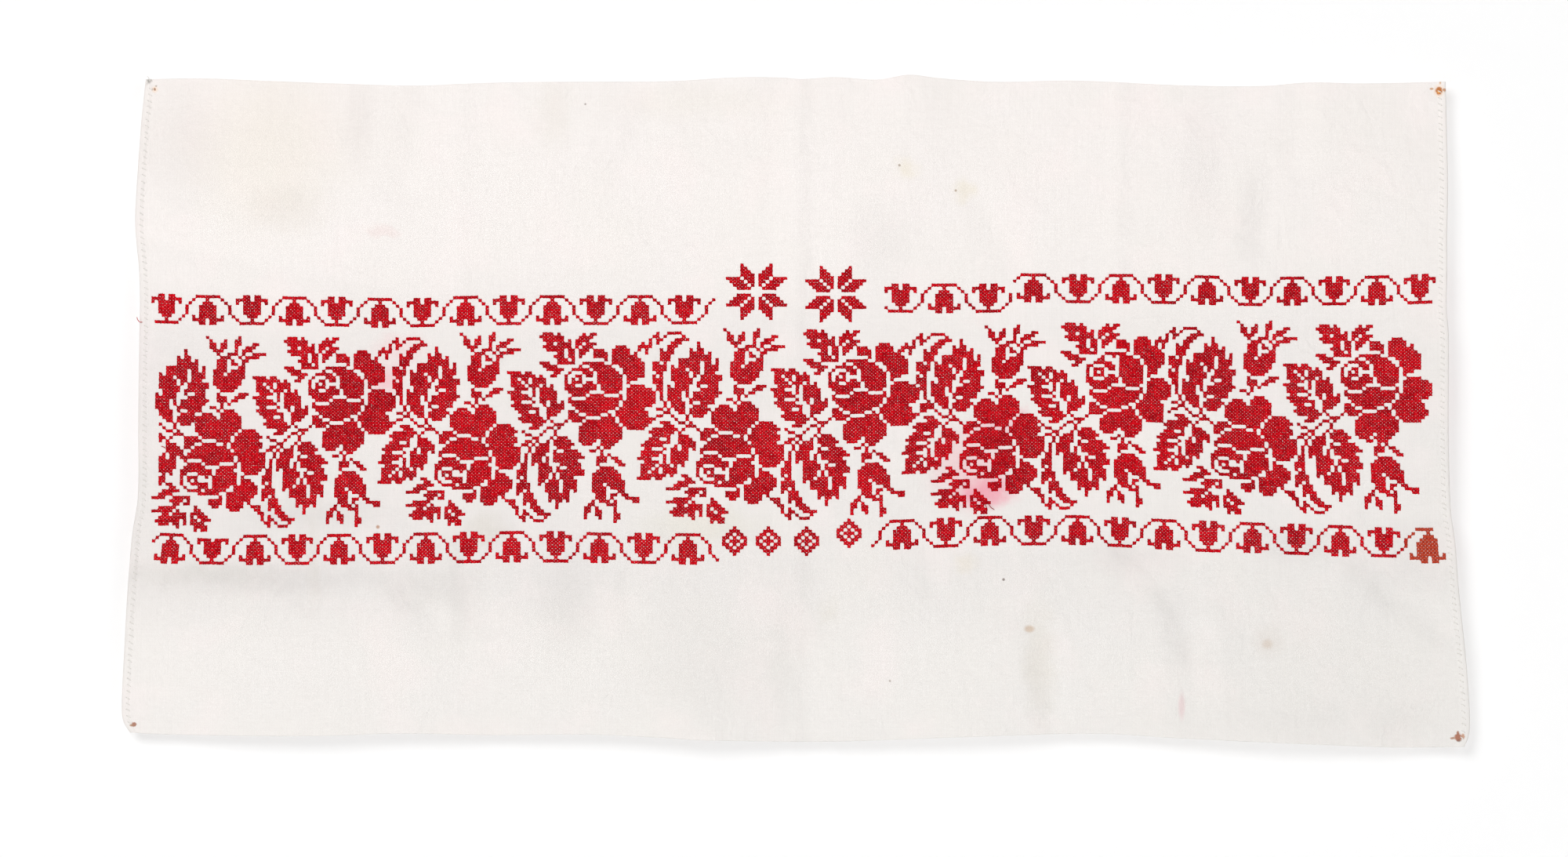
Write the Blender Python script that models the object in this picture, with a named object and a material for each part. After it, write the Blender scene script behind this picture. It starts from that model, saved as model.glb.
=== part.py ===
# Embroidered wall hanging: an oblong of plain-woven cloth, pinned to a wall at its four corners.
# The selvedges run along the top and the bottom, and the two short sides are turned in and hemmed.
# Metres, +Z up. The worked side looks along -Y and the wall behind it is the plane Y = 0.
# The origin is the middle of the top edge.

import math
from bisect import bisect_right
from collections import namedtuple

import bmesh
import bpy

MM = 0.001  # every size and table below is in millimetres

# Driving dimensions
HEIGHT = 452.0  # selvedge to selvedge, the width of the loom
CLOTH_THICKNESS = 1.0
HEM_THICKNESS = 1.9  # three layers of cloth and the stitches
HEM_FOLD_THICKNESS = 1.1  # at the outer fold, where the hem rounds off
HEM_WIDTH = 5.0
HEM_SHOULDER = 1.0  # the strip in which the hem rises from the cloth
REST_GAP = 3.0  # how far the cloth hangs off the wall between its pins

# The mesh: columns run from side to side, rows from the top edge to the bottom one
COLUMN_STEP = 16.5
ROW_STEP = 16.0
CORNER_STEPS = (0.0, 4.0, 12.0)  # extra rows beside the top and bottom edges

# Around each pin the back of the cloth lies flat on the wall, then rises into its folds
PIN_FLAT_RADIUS = 10.0
PIN_RISE = 62.0

Pin = namedtuple("Pin", "name x z")
PINS = (
    Pin("top left", -442.0, -6.0),
    Pin("top right", 442.0, -7.5),
    Pin("bottom left", -456.5, -445.5),
    Pin("bottom right", 456.0, -454.5),
)

# The two hemmed sides: where each lies at some depths below the top edge
SideSection = namedtuple("SideSection", "depth left right")
SIDES = (
    SideSection(0, -448.0, 448.5),
    SideSection(30, -451.0, 449.2),
    SideSection(75, -453.9, 449.6),
    SideSection(103, -455.0, 449.0),
    SideSection(129, -452.3, 449.0),
    SideSection(154, -451.4, 448.5),
    SideSection(172, -451.7, 449.8),
    SideSection(237, -452.3, 449.6),
    SideSection(288, -452.7, 451.3),
    SideSection(314, -456.6, 454.6),
    SideSection(345, -459.5, 457.1),
    SideSection(388, -462.0, 461.7),
    SideSection(430, -464.4, 465.2),
    SideSection(444, -463.6, 464.6),
    SideSection(452, -459.0, 461.5),
)

# The two selvedges: how high each lies at some places along it
EdgePoint = namedtuple("EdgePoint", "x z")
TOP_EDGE = (
    EdgePoint(-448, 0.0),
    EdgePoint(-410, 0.5),
    EdgePoint(-365, -1.4),
    EdgePoint(-302, -3.7),
    EdgePoint(-266, -4.5),
    EdgePoint(-202, -2.6),
    EdgePoint(-139, -2.1),
    EdgePoint(-87, -1.7),
    EdgePoint(-42, 0.8),
    EdgePoint(-10, 0.8),
    EdgePoint(4, -0.3),
    EdgePoint(27, 1.1),
    EdgePoint(57, -0.7),
    EdgePoint(78, 2.4),
    EdgePoint(99, 0.3),
    EdgePoint(139, -2.1),
    EdgePoint(192, -1.3),
    EdgePoint(266, -4.5),
    EdgePoint(323, -5.0),
    EdgePoint(353, -2.6),
    EdgePoint(388, -3.1),
    EdgePoint(449, -1.7),
)
BOTTOM_EDGE = (
    EdgePoint(-460, -450.3),
    EdgePoint(-442, -451.5),
    EdgePoint(-364, -452.5),
    EdgePoint(-322, -452.3),
    EdgePoint(-270, -450.8),
    EdgePoint(-209, -452.1),
    EdgePoint(-143, -451.6),
    EdgePoint(-87, -453.9),
    EdgePoint(-67, -455.2),
    EdgePoint(22, -456.5),
    EdgePoint(107, -453.5),
    EdgePoint(171, -451.5),
    EdgePoint(215, -451.2),
    EdgePoint(260, -453.9),
    EdgePoint(332, -457.1),
    EdgePoint(392, -459.8),
    EdgePoint(420, -460.6),
    EdgePoint(462, -460.4),
)

# Broad swells, where the slack between the pins stands off the wall
Swell = namedtuple("Swell", "name x z reach_x reach_z height")
SWELLS = (
    Swell("top left", -330, -62, 95, 60, 3.9),
    Swell("top middle left", -150, -40, 80, 55, 4.8),
    Swell("top middle", 40, -55, 85, 60, 5.7),
    Swell("top right", 250, -70, 130, 65, 4.2),
    Swell("band left", -300, -225, 130, 60, 3.0),
    Swell("band middle", -20, -240, 150, 60, 3.9),
    Swell("band right", 300, -215, 130, 65, 3.3),
    Swell("foot left", -300, -410, 120, 50, 5.1),
    Swell("foot middle", -70, -425, 90, 50, 4.5),
    Swell("foot middle right", 120, -400, 90, 55, 5.4),
    Swell("foot right", 335, -415, 100, 50, 6.3),
    Swell("left side", -440, -250, 45, 90, 3.0),
    Swell("right side", 440, -230, 45, 110, 3.6),
)

# Folds and creases: a soft ridge (+) or trough (-) along the line from one end to the other
Fold = namedtuple("Fold", "name x0 z0 x1 z1 half_width height")
FOLDS = (
    Fold("middle fold", 1, 10, -2, -470, 6, 1.6),
    Fold("beside the middle fold, left", -14, 10, -16, -470, 9, -1.2),
    Fold("beside the middle fold, right", 14, 10, 12, -470, 8, -0.9),
    Fold("quarter fold, left", -232, 10, -230, -190, 7, 0.9),
    Fold("quarter fold, right", 222, 10, 220, -190, 7, 0.9),
    Fold("long slant, left", -452, -108, -286, -142, 9, -1.6),
    Fold("top left corner, upper", -424, -14, -440, -40, 12, -1.8),
    Fold("top left corner, lower", -440, -40, -444, -98, 12, -1.8),
    Fold("below the top edge, left", -252, -4, -268, -74, 12, -2.0),
    Fold("below the top edge, middle", -98, -24, -120, -64, 12, -1.6),
    Fold("upper right, slanting", 124, -80, 150, -126, 12, -1.4),
    Fold("upper right, steep", 328, -66, 316, -110, 11, -1.4),
    Fold("upper right, by the edge", 346, -8, 345, -62, 12, -1.6),
    Fold("under the band, far left", -447, -341, -330, -342, 11, -2.4),
    Fold("under the band, left pucker", -334, -290, -335, -358, 10, -2.0),
    Fold("under the band, curved, upper", -280, -340, -262, -356, 10, -1.8),
    Fold("under the band, curved, lower", -262, -356, -248, -376, 10, -1.8),
    Fold("under the band, second pucker", -213, -342, -211, -374, 9, -1.4),
    Fold("under the band, third pucker", -116, -344, -114, -374, 9, -1.3),
    Fold("under the band, fourth pucker", 20, -342, 22, -374, 10, -1.6),
    Fold("under the band, fifth pucker", 92, -322, 95, -352, 9, -1.2),
    Fold("long curve, upper", 230, -322, 262, -356, 11, -2.2),
    Fold("long curve, middle", 262, -356, 276, -394, 11, -2.2),
    Fold("long curve, lower", 276, -394, 277, -440, 11, -2.0),
    Fold("long curve, its ridge", 286, -372, 292, -430, 12, 1.4),
    Fold("lower middle, steep", 164, -376, 179, -446, 11, -1.8),
    Fold("lower right slant, upper", 390, -328, 411, -352, 11, -2.0),
    Fold("lower right slant, lower", 411, -352, 448, -380, 11, -2.0),
    Fold("right hem crease", 396, -302, 448, -300, 10, -1.8),
    Fold("bottom right corner", 398, -446, 440, -426, 12, 2.0),
)

# Ripples of the two selvedges: each rises at its edge and dies out into the cloth
Ripple = namedtuple("Ripple", "x half_width height")
TOP_RIPPLES = (
    Ripple(-266, 40, -1.7),
    Ripple(-26, 26, 2.5),
    Ripple(78, 22, 4.8),
    Ripple(190, 45, 1.4),
    Ripple(345, 24, 3.6),
)
BOTTOM_RIPPLES = (
    Ripple(-340, 45, 2.2),
    Ripple(-209, 26, -2.5),
    Ripple(-66, 26, 3.6),
    Ripple(8, 22, -2.5),
    Ripple(120, 40, 2.5),
    Ripple(215, 30, -1.7),
    Ripple(330, 40, 3.4),
)
RIPPLE_REACH = 34.0  # how far into the cloth a ripple dies out

CLOTH_COLOUR = (0.83, 0.81, 0.76, 1.0)
CLOTH_ROUGHNESS = 0.9


def clear_scene():
    for thing in list(bpy.data.objects):
        bpy.data.objects.remove(thing, do_unlink=True)


def eased(share):
    share = min(max(share, 0.0), 1.0)
    return share * share * (3.0 - 2.0 * share)


def bell(distance, half_width):
    return math.exp(-((distance / half_width) ** 2))


def read_smoothly(places, values, at):
    """A smooth curve through the values, read at one place."""
    at = min(max(at, places[0]), places[-1])
    i = min(max(bisect_right(places, at) - 1, 0), len(places) - 2)

    def slope(k):
        before, after = max(k - 1, 0), min(k + 1, len(places) - 1)
        return (values[after] - values[before]) / (places[after] - places[before])

    span = places[i + 1] - places[i]
    t = (at - places[i]) / span
    start = (2 * t**3 - 3 * t**2 + 1) * values[i] + (t**3 - 2 * t**2 + t) * span * slope(i)
    end = (3 * t**2 - 2 * t**3) * values[i + 1] + (t**3 - t**2) * span * slope(i + 1)
    return start + end


def side_at(depth):
    """The left and the right side's place at this depth."""
    depths = [s.depth for s in SIDES]
    left = read_smoothly(depths, [s.left for s in SIDES], depth)
    right = read_smoothly(depths, [s.right for s in SIDES], depth)
    return left, right


def edge_at(edge, x):
    return read_smoothly([p.x for p in edge], [p.z for p in edge], x)


def distance_to_line(x, z, fold):
    """How far a point lies from a fold's line, and from its ends."""
    dx, dz = fold.x1 - fold.x0, fold.z1 - fold.z0
    along = ((x - fold.x0) * dx + (z - fold.z0) * dz) / (dx * dx + dz * dz)
    along = min(max(along, 0.0), 1.0)
    return math.hypot(x - fold.x0 - along * dx, z - fold.z0 - along * dz)


def pin_freedom(x, z):
    """0 on the flat round a pin, 1 where the cloth hangs free."""
    free = 1.0
    for pin in PINS:
        away = math.hypot(x - pin.x, z - pin.z) - PIN_FLAT_RADIUS
        free *= eased(away / PIN_RISE)
    return free


def ripples(table, x, from_edge):
    fade = bell(from_edge, RIPPLE_REACH)
    return sum(r.height * bell(x - r.x, r.half_width) for r in table) * fade


def off_the_wall(x, z):
    """How far the back of the cloth lies in front of the wall."""
    relief = REST_GAP
    for s in SWELLS:
        relief += s.height * bell(x - s.x, s.reach_x) * bell(z - s.z, s.reach_z)
    for fold in FOLDS:
        relief += fold.height * bell(distance_to_line(x, z, fold), fold.half_width)
    relief += ripples(TOP_RIPPLES, x, edge_at(TOP_EDGE, x) - z)
    relief += ripples(BOTTOM_RIPPLES, x, z - edge_at(BOTTOM_EDGE, x))
    return max(relief, 0.2) * pin_freedom(x, z)


def thickness_at(inset):
    """The cloth's thickness at this distance in from the nearer hemmed side."""
    if inset < HEM_SHOULDER:
        return HEM_FOLD_THICKNESS + (HEM_THICKNESS - HEM_FOLD_THICKNESS) * inset / HEM_SHOULDER
    past_shoulder = (inset - HEM_WIDTH + HEM_SHOULDER) / HEM_SHOULDER
    return HEM_THICKNESS + (CLOTH_THICKNESS - HEM_THICKNESS) * min(max(past_shoulder, 0.0), 1.0)


def column_places():
    """Places of the columns, in millimetres from the left side of a cloth of nominal width."""
    width = SIDES[0].right - SIDES[0].left
    beside = [0.0, HEM_SHOULDER, HEM_WIDTH - HEM_SHOULDER, HEM_WIDTH, 12.0]
    middle = [width / 2 + step for step in (-14.0, -6.0, 0.0, 6.0, 14.0)]
    left_run = even_run(beside[-1], middle[0], COLUMN_STEP)
    right_run = even_run(middle[-1], width - beside[-1], COLUMN_STEP)
    return beside + left_run + middle + right_run + [width - b for b in reversed(beside)], width


def even_run(start, end, step):
    """Places evenly spaced between two ends, without the ends."""
    count = max(round((end - start) / step), 1)
    return [start + (end - start) * k / count for k in range(1, count)]


def row_places():
    """Depths of the rows, from the top edge down."""
    top = list(CORNER_STEPS)
    bottom = [HEIGHT - step for step in reversed(CORNER_STEPS)]
    return top + even_run(top[-1], bottom[0], ROW_STEP) + bottom


def cloth_point(across, width, depth):
    """A point of the cloth's back, and its distance in from the nearer side."""
    left, right = side_at(depth)
    x = left + inset_share(across, width, right - left) * (right - left)
    top, bottom = edge_at(TOP_EDGE, x), edge_at(BOTTOM_EDGE, x)
    z = top + (bottom - top) * depth / HEIGHT
    return x, z, min(across, width - across)


def inset_share(across, width, here):
    """The share of the way across, with the hems kept at their own width."""
    if across <= HEM_WIDTH:
        return across / here
    if across >= width - HEM_WIDTH:
        return 1.0 - (width - across) / here
    inner = (across - HEM_WIDTH) / (width - 2 * HEM_WIDTH)
    return (HEM_WIDTH + inner * (here - 2 * HEM_WIDTH)) / here


def make_grids(bm):
    """The points of the worked side and of the back, as two grids of the same layout."""
    columns, width = column_places()
    front, back = [], []
    for depth in row_places():
        front_row, back_row = [], []
        for across in columns:
            x, z, inset = cloth_point(across, width, depth)
            y = -off_the_wall(x, z)
            back_row.append(bm.verts.new((x * MM, y * MM, z * MM)))
            front_row.append(bm.verts.new((x * MM, (y - thickness_at(inset)) * MM, z * MM)))
        front.append(front_row)
        back.append(back_row)
    return front, back


def join_grids(bm, front, back):
    rows, columns = len(front), len(front[0])
    for r in range(rows - 1):
        for c in range(columns - 1):
            bm.faces.new((front[r][c], front[r + 1][c], front[r + 1][c + 1], front[r][c + 1]))
            bm.faces.new((back[r][c], back[r][c + 1], back[r + 1][c + 1], back[r + 1][c]))
        bm.faces.new((front[r][0], back[r][0], back[r + 1][0], front[r + 1][0]))
        bm.faces.new((front[r][-1], front[r + 1][-1], back[r + 1][-1], back[r][-1]))
    for c in range(columns - 1):
        bm.faces.new((front[0][c], front[0][c + 1], back[0][c + 1], back[0][c]))
        bm.faces.new((front[-1][c], back[-1][c], back[-1][c + 1], front[-1][c + 1]))


def cloth_material():
    material = bpy.data.materials.new("linen")
    material.use_nodes = True
    shader = material.node_tree.nodes["Principled BSDF"]
    shader.inputs["Base Color"].default_value = CLOTH_COLOUR
    shader.inputs["Roughness"].default_value = CLOTH_ROUGHNESS
    shader.inputs["Metallic"].default_value = 0.0
    return material


def make_cloth():
    bm = bmesh.new()
    front, back = make_grids(bm)
    join_grids(bm, front, back)
    bmesh.ops.triangulate(bm, faces=bm.faces[:])
    mesh = bpy.data.meshes.new("cloth")
    bm.to_mesh(mesh)
    bm.free()
    mesh.materials.append(cloth_material())
    mesh.shade_smooth()
    cloth = bpy.data.objects.new("cloth", mesh)
    bpy.context.scene.collection.objects.link(cloth)
    return cloth


clear_scene()
make_cloth()
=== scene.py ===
import math

import bpy
import numpy as np
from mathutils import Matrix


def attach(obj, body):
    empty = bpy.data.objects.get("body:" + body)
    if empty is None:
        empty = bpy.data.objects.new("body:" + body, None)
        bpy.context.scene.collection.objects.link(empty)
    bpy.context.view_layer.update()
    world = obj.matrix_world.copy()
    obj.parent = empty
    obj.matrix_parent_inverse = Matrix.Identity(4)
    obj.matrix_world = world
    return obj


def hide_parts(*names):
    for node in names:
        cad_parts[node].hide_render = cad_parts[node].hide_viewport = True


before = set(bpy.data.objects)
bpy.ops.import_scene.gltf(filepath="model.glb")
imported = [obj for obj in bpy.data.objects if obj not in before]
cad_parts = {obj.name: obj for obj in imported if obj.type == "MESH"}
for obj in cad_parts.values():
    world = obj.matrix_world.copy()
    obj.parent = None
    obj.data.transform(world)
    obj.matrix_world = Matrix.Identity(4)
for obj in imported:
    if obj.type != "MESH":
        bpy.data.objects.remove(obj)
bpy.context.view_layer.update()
mm = 0.001
dice = np.random.default_rng(27)
print("frame loaded:", sorted(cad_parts))

# The camera stands straight in front, with a long lens
camera = dict(lens=120.0, sensor=36.0, across=1080.0, centre=(-7.8, -5.0, -240.8))


def placeCamera():
    data = bpy.data.cameras.new("camera")
    data.lens = camera["lens"]
    data.sensor_width = camera["sensor"]
    obj = bpy.data.objects.new("camera", data)
    bpy.context.scene.collection.objects.link(obj)
    distance = camera["lens"] / camera["sensor"] * camera["across"]
    x, y, z = camera["centre"]
    obj.location = (x * mm, (y - distance) * mm, z * mm)
    obj.rotation_euler = (math.pi / 2, 0, 0)
    bpy.context.scene.camera = obj


placeCamera()

# The hanging's own shape, in the solid's sizes
cloth = dict(
    height=452.0,
    thickness=0.7,
    hemWidth=5.0,
    hemThickness=1.3,
    hemStep=2.4,        # over which the hem thins to the single cloth
    hemStepInside=1.8,  # how far short of the hem's width that begins
    edgeThickness=0.45,    # share of the hem's thickness at the folded edge
    edgeRise=0.75,
    edgeRound=1.2,
    # reach of the painted shade along the hemmed sides
    shadedEdge=1.6,
    gap=3.0,            # off the wall between the pins
    leastGap=0.2,
    creaseDepth=1.4,    # all the folds, deeper or shallower together
    pinFlat=10.0,
    pinRise=62.0,
    rippleReach=34.0,
    columns=290,
    columnsFrom=8.0,    # the even columns and rows begin this far in
    rows=144,
    rowsFrom=3.5,
    besideHem=[0.0, 0.25, 0.7, 1.3, 2.6, 4.0, 4.3, 4.6, 5.0, 6.4],
    besideSelvedge=[0.0, 0.5, 1.6],
)
pins = [(-442.0, -6.0), (442.0, -7.5), (-456.5, -445.5), (456.0, -454.5)]

# depth below the top edge, x of the left side, x of the right side
sides = [
    (0, -448.0, 448.5), (30, -451.0, 449.2), (75, -453.9, 449.6), (103, -455.0, 449.0),
    (129, -452.3, 449.0), (154, -451.4, 448.5), (172, -451.7, 449.8), (237, -452.3, 449.6),
    (288, -452.7, 451.3), (314, -456.6, 454.6), (345, -459.5, 457.1), (388, -462.0, 461.7),
    (430, -464.4, 465.2), (444, -463.6, 464.6), (452, -459.0, 461.5),
]

# x, z along each selvedge
topEdge = [
    (-448, 0.0), (-410, 0.5), (-365, -1.4), (-302, -3.7), (-266, -4.5), (-202, -2.6),
    (-139, -2.1), (-87, -1.7), (-42, 0.8), (-10, 0.8), (4, -0.3), (27, 1.1), (57, -0.7),
    (78, 2.4), (99, 0.3), (139, -2.1), (192, -1.3), (266, -4.5), (323, -5.0), (353, -2.6),
    (388, -3.1), (449, -1.7),
]
bottomEdge = [
    (-460, -450.3), (-442, -451.5), (-364, -452.5), (-322, -452.3), (-270, -450.8),
    (-209, -452.1), (-143, -451.6), (-87, -453.9), (-67, -455.2), (22, -456.5),
    (107, -453.5), (171, -451.5), (215, -451.2), (260, -453.9), (332, -457.1),
    (392, -459.8), (420, -460.6), (462, -460.4),
]

# Broad swells off the wall: x, z, reach across, reach down, height
swells = [
    (-330, -62, 95, 60, 3.9), (-150, -40, 80, 55, 4.8), (40, -55, 85, 60, 5.7),
    (250, -70, 130, 65, 4.2), (-300, -225, 130, 60, 3.0), (-20, -240, 150, 60, 3.9),
    (300, -215, 130, 65, 3.3), (-300, -410, 120, 50, 5.1), (-70, -425, 90, 50, 4.5),
    (120, -400, 90, 55, 5.4), (335, -415, 100, 50, 6.3), (-440, -250, 45, 90, 3.0),
    (440, -230, 45, 110, 3.6),
]

# Soft ridges (+) and troughs (-): from x, z to x, z, half width, height
folds = [
    (1, 10, -2, -470, 6, 0.9),            # the middle fold
    (-14, 10, -16, -470, 9, -0.8),
    (14, 10, 12, -470, 8, -0.5),
    (-232, 10, -230, -190, 7, 0.9),       # the quarter folds
    (222, 10, 220, -190, 7, 0.9),
    (-452, -108, -286, -142, 9, -1.6),
    (-424, -14, -440, -40, 12, -1.8),     # the corner top left
    (-440, -40, -444, -98, 12, -1.8),
    (-252, -4, -268, -74, 12, -2.0),
    (-98, -24, -120, -64, 12, -1.6),
    (124, -80, 150, -126, 12, -1.4),
    (328, -66, 316, -110, 11, -1.4),
    (346, -8, 345, -62, 12, -1.6),
    (-447, -341, -330, -342, 11, -2.4),   # puckers under the band
    (-334, -290, -335, -358, 10, -2.0),
    (-280, -340, -262, -356, 10, -1.8),
    (-262, -356, -248, -376, 10, -1.8),
    (-213, -342, -211, -374, 9, -1.4),
    (-116, -344, -114, -374, 9, -1.3),
    (20, -342, 22, -374, 10, -1.6),
    (92, -322, 95, -352, 9, -1.2),
    (230, -322, 262, -356, 11, -2.2),     # the long curve, lower right
    (262, -356, 276, -394, 11, -2.2),
    (276, -394, 277, -440, 11, -2.0),
    (286, -372, 292, -430, 12, 1.4),
    (164, -376, 179, -446, 11, -1.8),
    (390, -328, 411, -352, 11, -2.0),
    (411, -352, 448, -380, 11, -2.0),
    (396, -302, 448, -300, 10, -1.8),
    (398, -446, 440, -426, 12, 2.0),
]

# Ripples of the selvedges: x, half width, height
topRipples = [(-266, 40, -1.7), (-26, 26, 2.5), (78, 22, 4.8), (190, 45, 1.4), (345, 24, 3.6)]
bottomRipples = [
    (-340, 45, 2.2), (-209, 26, -2.5), (-66, 26, 3.6), (8, 22, -2.5), (120, 40, 2.5),
    (215, 30, -1.7), (330, 40, 3.4),
]


def readSmoothly(table, value, at):
    # a smooth curve through one column of a table, read at many places
    places = np.array([row[0] for row in table], float)
    values = np.array([row[value] for row in table], float)
    slopes = np.gradient(values)
    slopes[1:-1] = (values[2:] - values[:-2]) / (places[2:] - places[:-2])
    slopes[0] = (values[1] - values[0]) / (places[1] - places[0])
    slopes[-1] = (values[-1] - values[-2]) / (places[-1] - places[-2])
    at = np.clip(at, places[0], places[-1])
    i = np.clip(np.searchsorted(places, at, side="right") - 1, 0, len(places) - 2)
    span = places[i + 1] - places[i]
    t = (at - places[i]) / span
    start = (2 * t**3 - 3 * t**2 + 1) * values[i] + (t**3 - 2 * t**2 + t) * span * slopes[i]
    end = (3 * t**2 - 2 * t**3) * values[i + 1] + (t**3 - t**2) * span * slopes[i + 1]
    return start + end


def bell(distance, halfWidth):
    return np.exp(-((distance / halfWidth) ** 2))


def eased(share):
    share = np.clip(share, 0.0, 1.0)
    return share * share * (3.0 - 2.0 * share)


def toLine(x, z, x0, z0, x1, z1):
    dx, dz = x1 - x0, z1 - z0
    along = np.clip(((x - x0) * dx + (z - z0) * dz) / (dx * dx + dz * dz), 0.0, 1.0)
    return np.hypot(x - x0 - along * dx, z - z0 - along * dz)


def offTheWall(x, z):
    relief = np.full(np.shape(x), cloth["gap"])
    for sx, sz, acrossReach, downReach, height in swells:
        relief += height * bell(x - sx, acrossReach) * bell(z - sz, downReach)
    for x0, z0, x1, z1, halfWidth, height in folds:
        relief += cloth["creaseDepth"] * height * bell(toLine(x, z, x0, z0, x1, z1), halfWidth)
    fromTop = readSmoothly(topEdge, 1, x) - z
    fromFoot = z - readSmoothly(bottomEdge, 1, x)
    for table, edge in ((topRipples, fromTop), (bottomRipples, fromFoot)):
        fade = bell(edge, cloth["rippleReach"])
        for rx, halfWidth, height in table:
            relief += height * bell(x - rx, halfWidth) * fade
    relief = np.maximum(relief, cloth["leastGap"])
    for px, pz in pins:
        relief *= eased((np.hypot(x - px, z - pz) - cloth["pinFlat"]) / cloth["pinRise"])
    return relief


def insetAt(x, z):
    # distance in from the nearer hemmed side
    top, foot = readSmoothly(topEdge, 1, x), readSmoothly(bottomEdge, 1, x)
    depth = (top - z) / (top - foot) * cloth["height"]
    return np.minimum(x - readSmoothly(sides, 1, depth), readSmoothly(sides, 2, depth) - x)


def thicknessAt(inset):
    # a round outer fold, the turned hem, then the single cloth
    rounded = cloth["edgeThickness"] + cloth["edgeRise"] * np.sqrt(np.clip(inset, 0, 2) / cloth["edgeRound"])
    hem = cloth["hemThickness"] * np.clip(rounded, 0, 1)
    step = eased((inset - cloth["hemWidth"] + cloth["hemStepInside"]) / cloth["hemStep"])
    return hem + (cloth["thickness"] - hem) * step


def clothFront(x, z):
    return -offTheWall(x, z) - thicknessAt(insetAt(x, z))


def clothBack(x, z):
    return -offTheWall(x, z)


def addMesh(name, points, faces, material, values=None, uv=None, smooth=True):
    # points are millimetres, faces are quads
    mesh = bpy.data.meshes.new(name)
    mesh.vertices.add(len(points))
    mesh.vertices.foreach_set("co", (np.asarray(points) * mm).astype(np.float32).ravel())
    mesh.loops.add(faces.size)
    mesh.loops.foreach_set("vertex_index", faces.astype(np.int32).ravel())
    mesh.polygons.add(len(faces))
    mesh.polygons.foreach_set("loop_start", np.arange(0, faces.size, 4, dtype=np.int32))
    mesh.update(calc_edges=True)
    if values is not None:
        mesh.attributes.new("shade", "FLOAT", "POINT").data.foreach_set("value", values.astype(np.float32))
    if uv is not None:
        layer = mesh.uv_layers.new(name="strand")
        layer.data.foreach_set("uv", uv[faces.ravel()].astype(np.float32).ravel())
    mesh.polygons.foreach_set("use_smooth", np.full(len(faces), smooth))
    mesh.materials.append(material)
    obj = bpy.data.objects.new(name, mesh)
    bpy.context.scene.collection.objects.link(obj)
    print(f"{name}: {len(faces) * 2} triangles")
    return obj


def spaced(length, beside, first, count):
    # places along a length: those near an end, even ones between, and the same near the other end
    even = np.linspace(first, length - first, count)
    return np.concatenate([beside, even, length - np.array(beside[::-1])])


def clothColumns():
    # places across, closer together beside the hems, and the width of the top
    width = sides[0][2] - sides[0][1]
    return spaced(width, cloth["besideHem"], cloth["columnsFrom"], cloth["columns"]), width


def clothPlan():
    # x and z of every point of the cloth, before its relief
    across, width = clothColumns()
    depth = spaced(cloth["height"], cloth["besideSelvedge"], cloth["rowsFrom"], cloth["rows"])[:, None]
    left, right = readSmoothly(sides, 1, depth), readSmoothly(sides, 2, depth)
    hem = cloth["hemWidth"]
    here = right - left
    inner = hem + (across - hem) / (width - 2 * hem) * (here - 2 * hem)
    x = left + np.where(across <= hem, across, np.where(across >= width - hem, here - width + across, inner))
    top, foot = readSmoothly(topEdge, 1, x), readSmoothly(bottomEdge, 1, x)
    z = top + (foot - top) * depth / cloth["height"]
    return x, z


def gridFaces(rows, columns, first=0, turned=False):
    at = first + np.arange(rows * columns).reshape(rows, columns)
    quads = np.stack([at[:-1, :-1], at[1:, :-1], at[1:, 1:], at[:-1, 1:]], -1).reshape(-1, 4)
    return quads[:, ::-1] if turned else quads


def makeCloth(material):
    x, z = clothPlan()
    rows, columns = x.shape
    front = np.stack([x, clothFront(x, z), z], -1).reshape(-1, 3)
    back = np.stack([x, clothBack(x, z), z], -1).reshape(-1, 3)
    count = rows * columns
    at = np.arange(count).reshape(rows, columns)
    rim = np.concatenate([at[0, ::-1], at[1:, 0], at[-1, 1:], at[-2:0:-1, -1]])
    after = np.roll(rim, -1)
    edge = np.stack([rim, rim + count, after + count, after], -1)
    faces = np.concatenate([gridFaces(rows, columns), gridFaces(rows, columns, count, True), edge])
    # painted shade, darkest at the very edge of the hemmed sides
    edgeShade = np.clip(1.0 - insetAt(x, z) / cloth["shadedEdge"], 0, 1).ravel()
    points, values = np.concatenate([front, back]), np.concatenate([edgeShade, edgeShade])
    return addMesh("wovenCloth", points, faces, material, values)


# Charts: X is one cross. Those of the band and the borders were counted by hand on enlarged crops of the
# photo and corrected on crops that scratch scripts had straightened and ruled.
rose = """
............XXX.........
......XXX..XXXXX........
.....XXXXX.XXXXXX.......
....XXXXXXXXXXXXX.......
....XXXXXXXXXXXXX.......
....XXXXXXXXXXXXX.......
....XXXXXXXXXXXX.XXXX...
.....XXXXXXXXXX.XXXXXX..
..XXX.XXXXXXXX.XXXXXXXX.
.XXXXX....XXXX.XXXXXXX..
.XXX..XXXX..X.XXXXXXXXX.
.XX.XXXXXXXXX.XXXXXXXXX.
...XXXXXXXXXXX.XXXXXXX..
..XXXXXXXXXXXXXXXXXXXXXX
.XXXXXXXXXXXXXX.XXXXXXXX
.X....XXXXXXXXX.XXXXXXXX
..XXXX.XXXX....X.XXXXXXX
.XXXXXX....XXXXX.XXXXXXX
XXXXXXXXX.XXXXX..XXXXXX.
XX...XXXX.XXXXXX..XXXX..
X.XXX..X.XXXXXXX.X......
X.X.X....XXXXXXX.XXX....
X..XXXXX.XXXXXXX.XXXX...
.X...XXX.XXXXX.XXXXXXX..
..XXXX.XXXXXX..XXXXXXX..
.....XXXXXX..XXXXXXXXX..
...........X.XXXXXXXX...
........XXXX.XXXXXXX....
........XXXX.XXXXX.X....
.........XX..XXXXX......
..............XXX.......
"""
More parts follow.
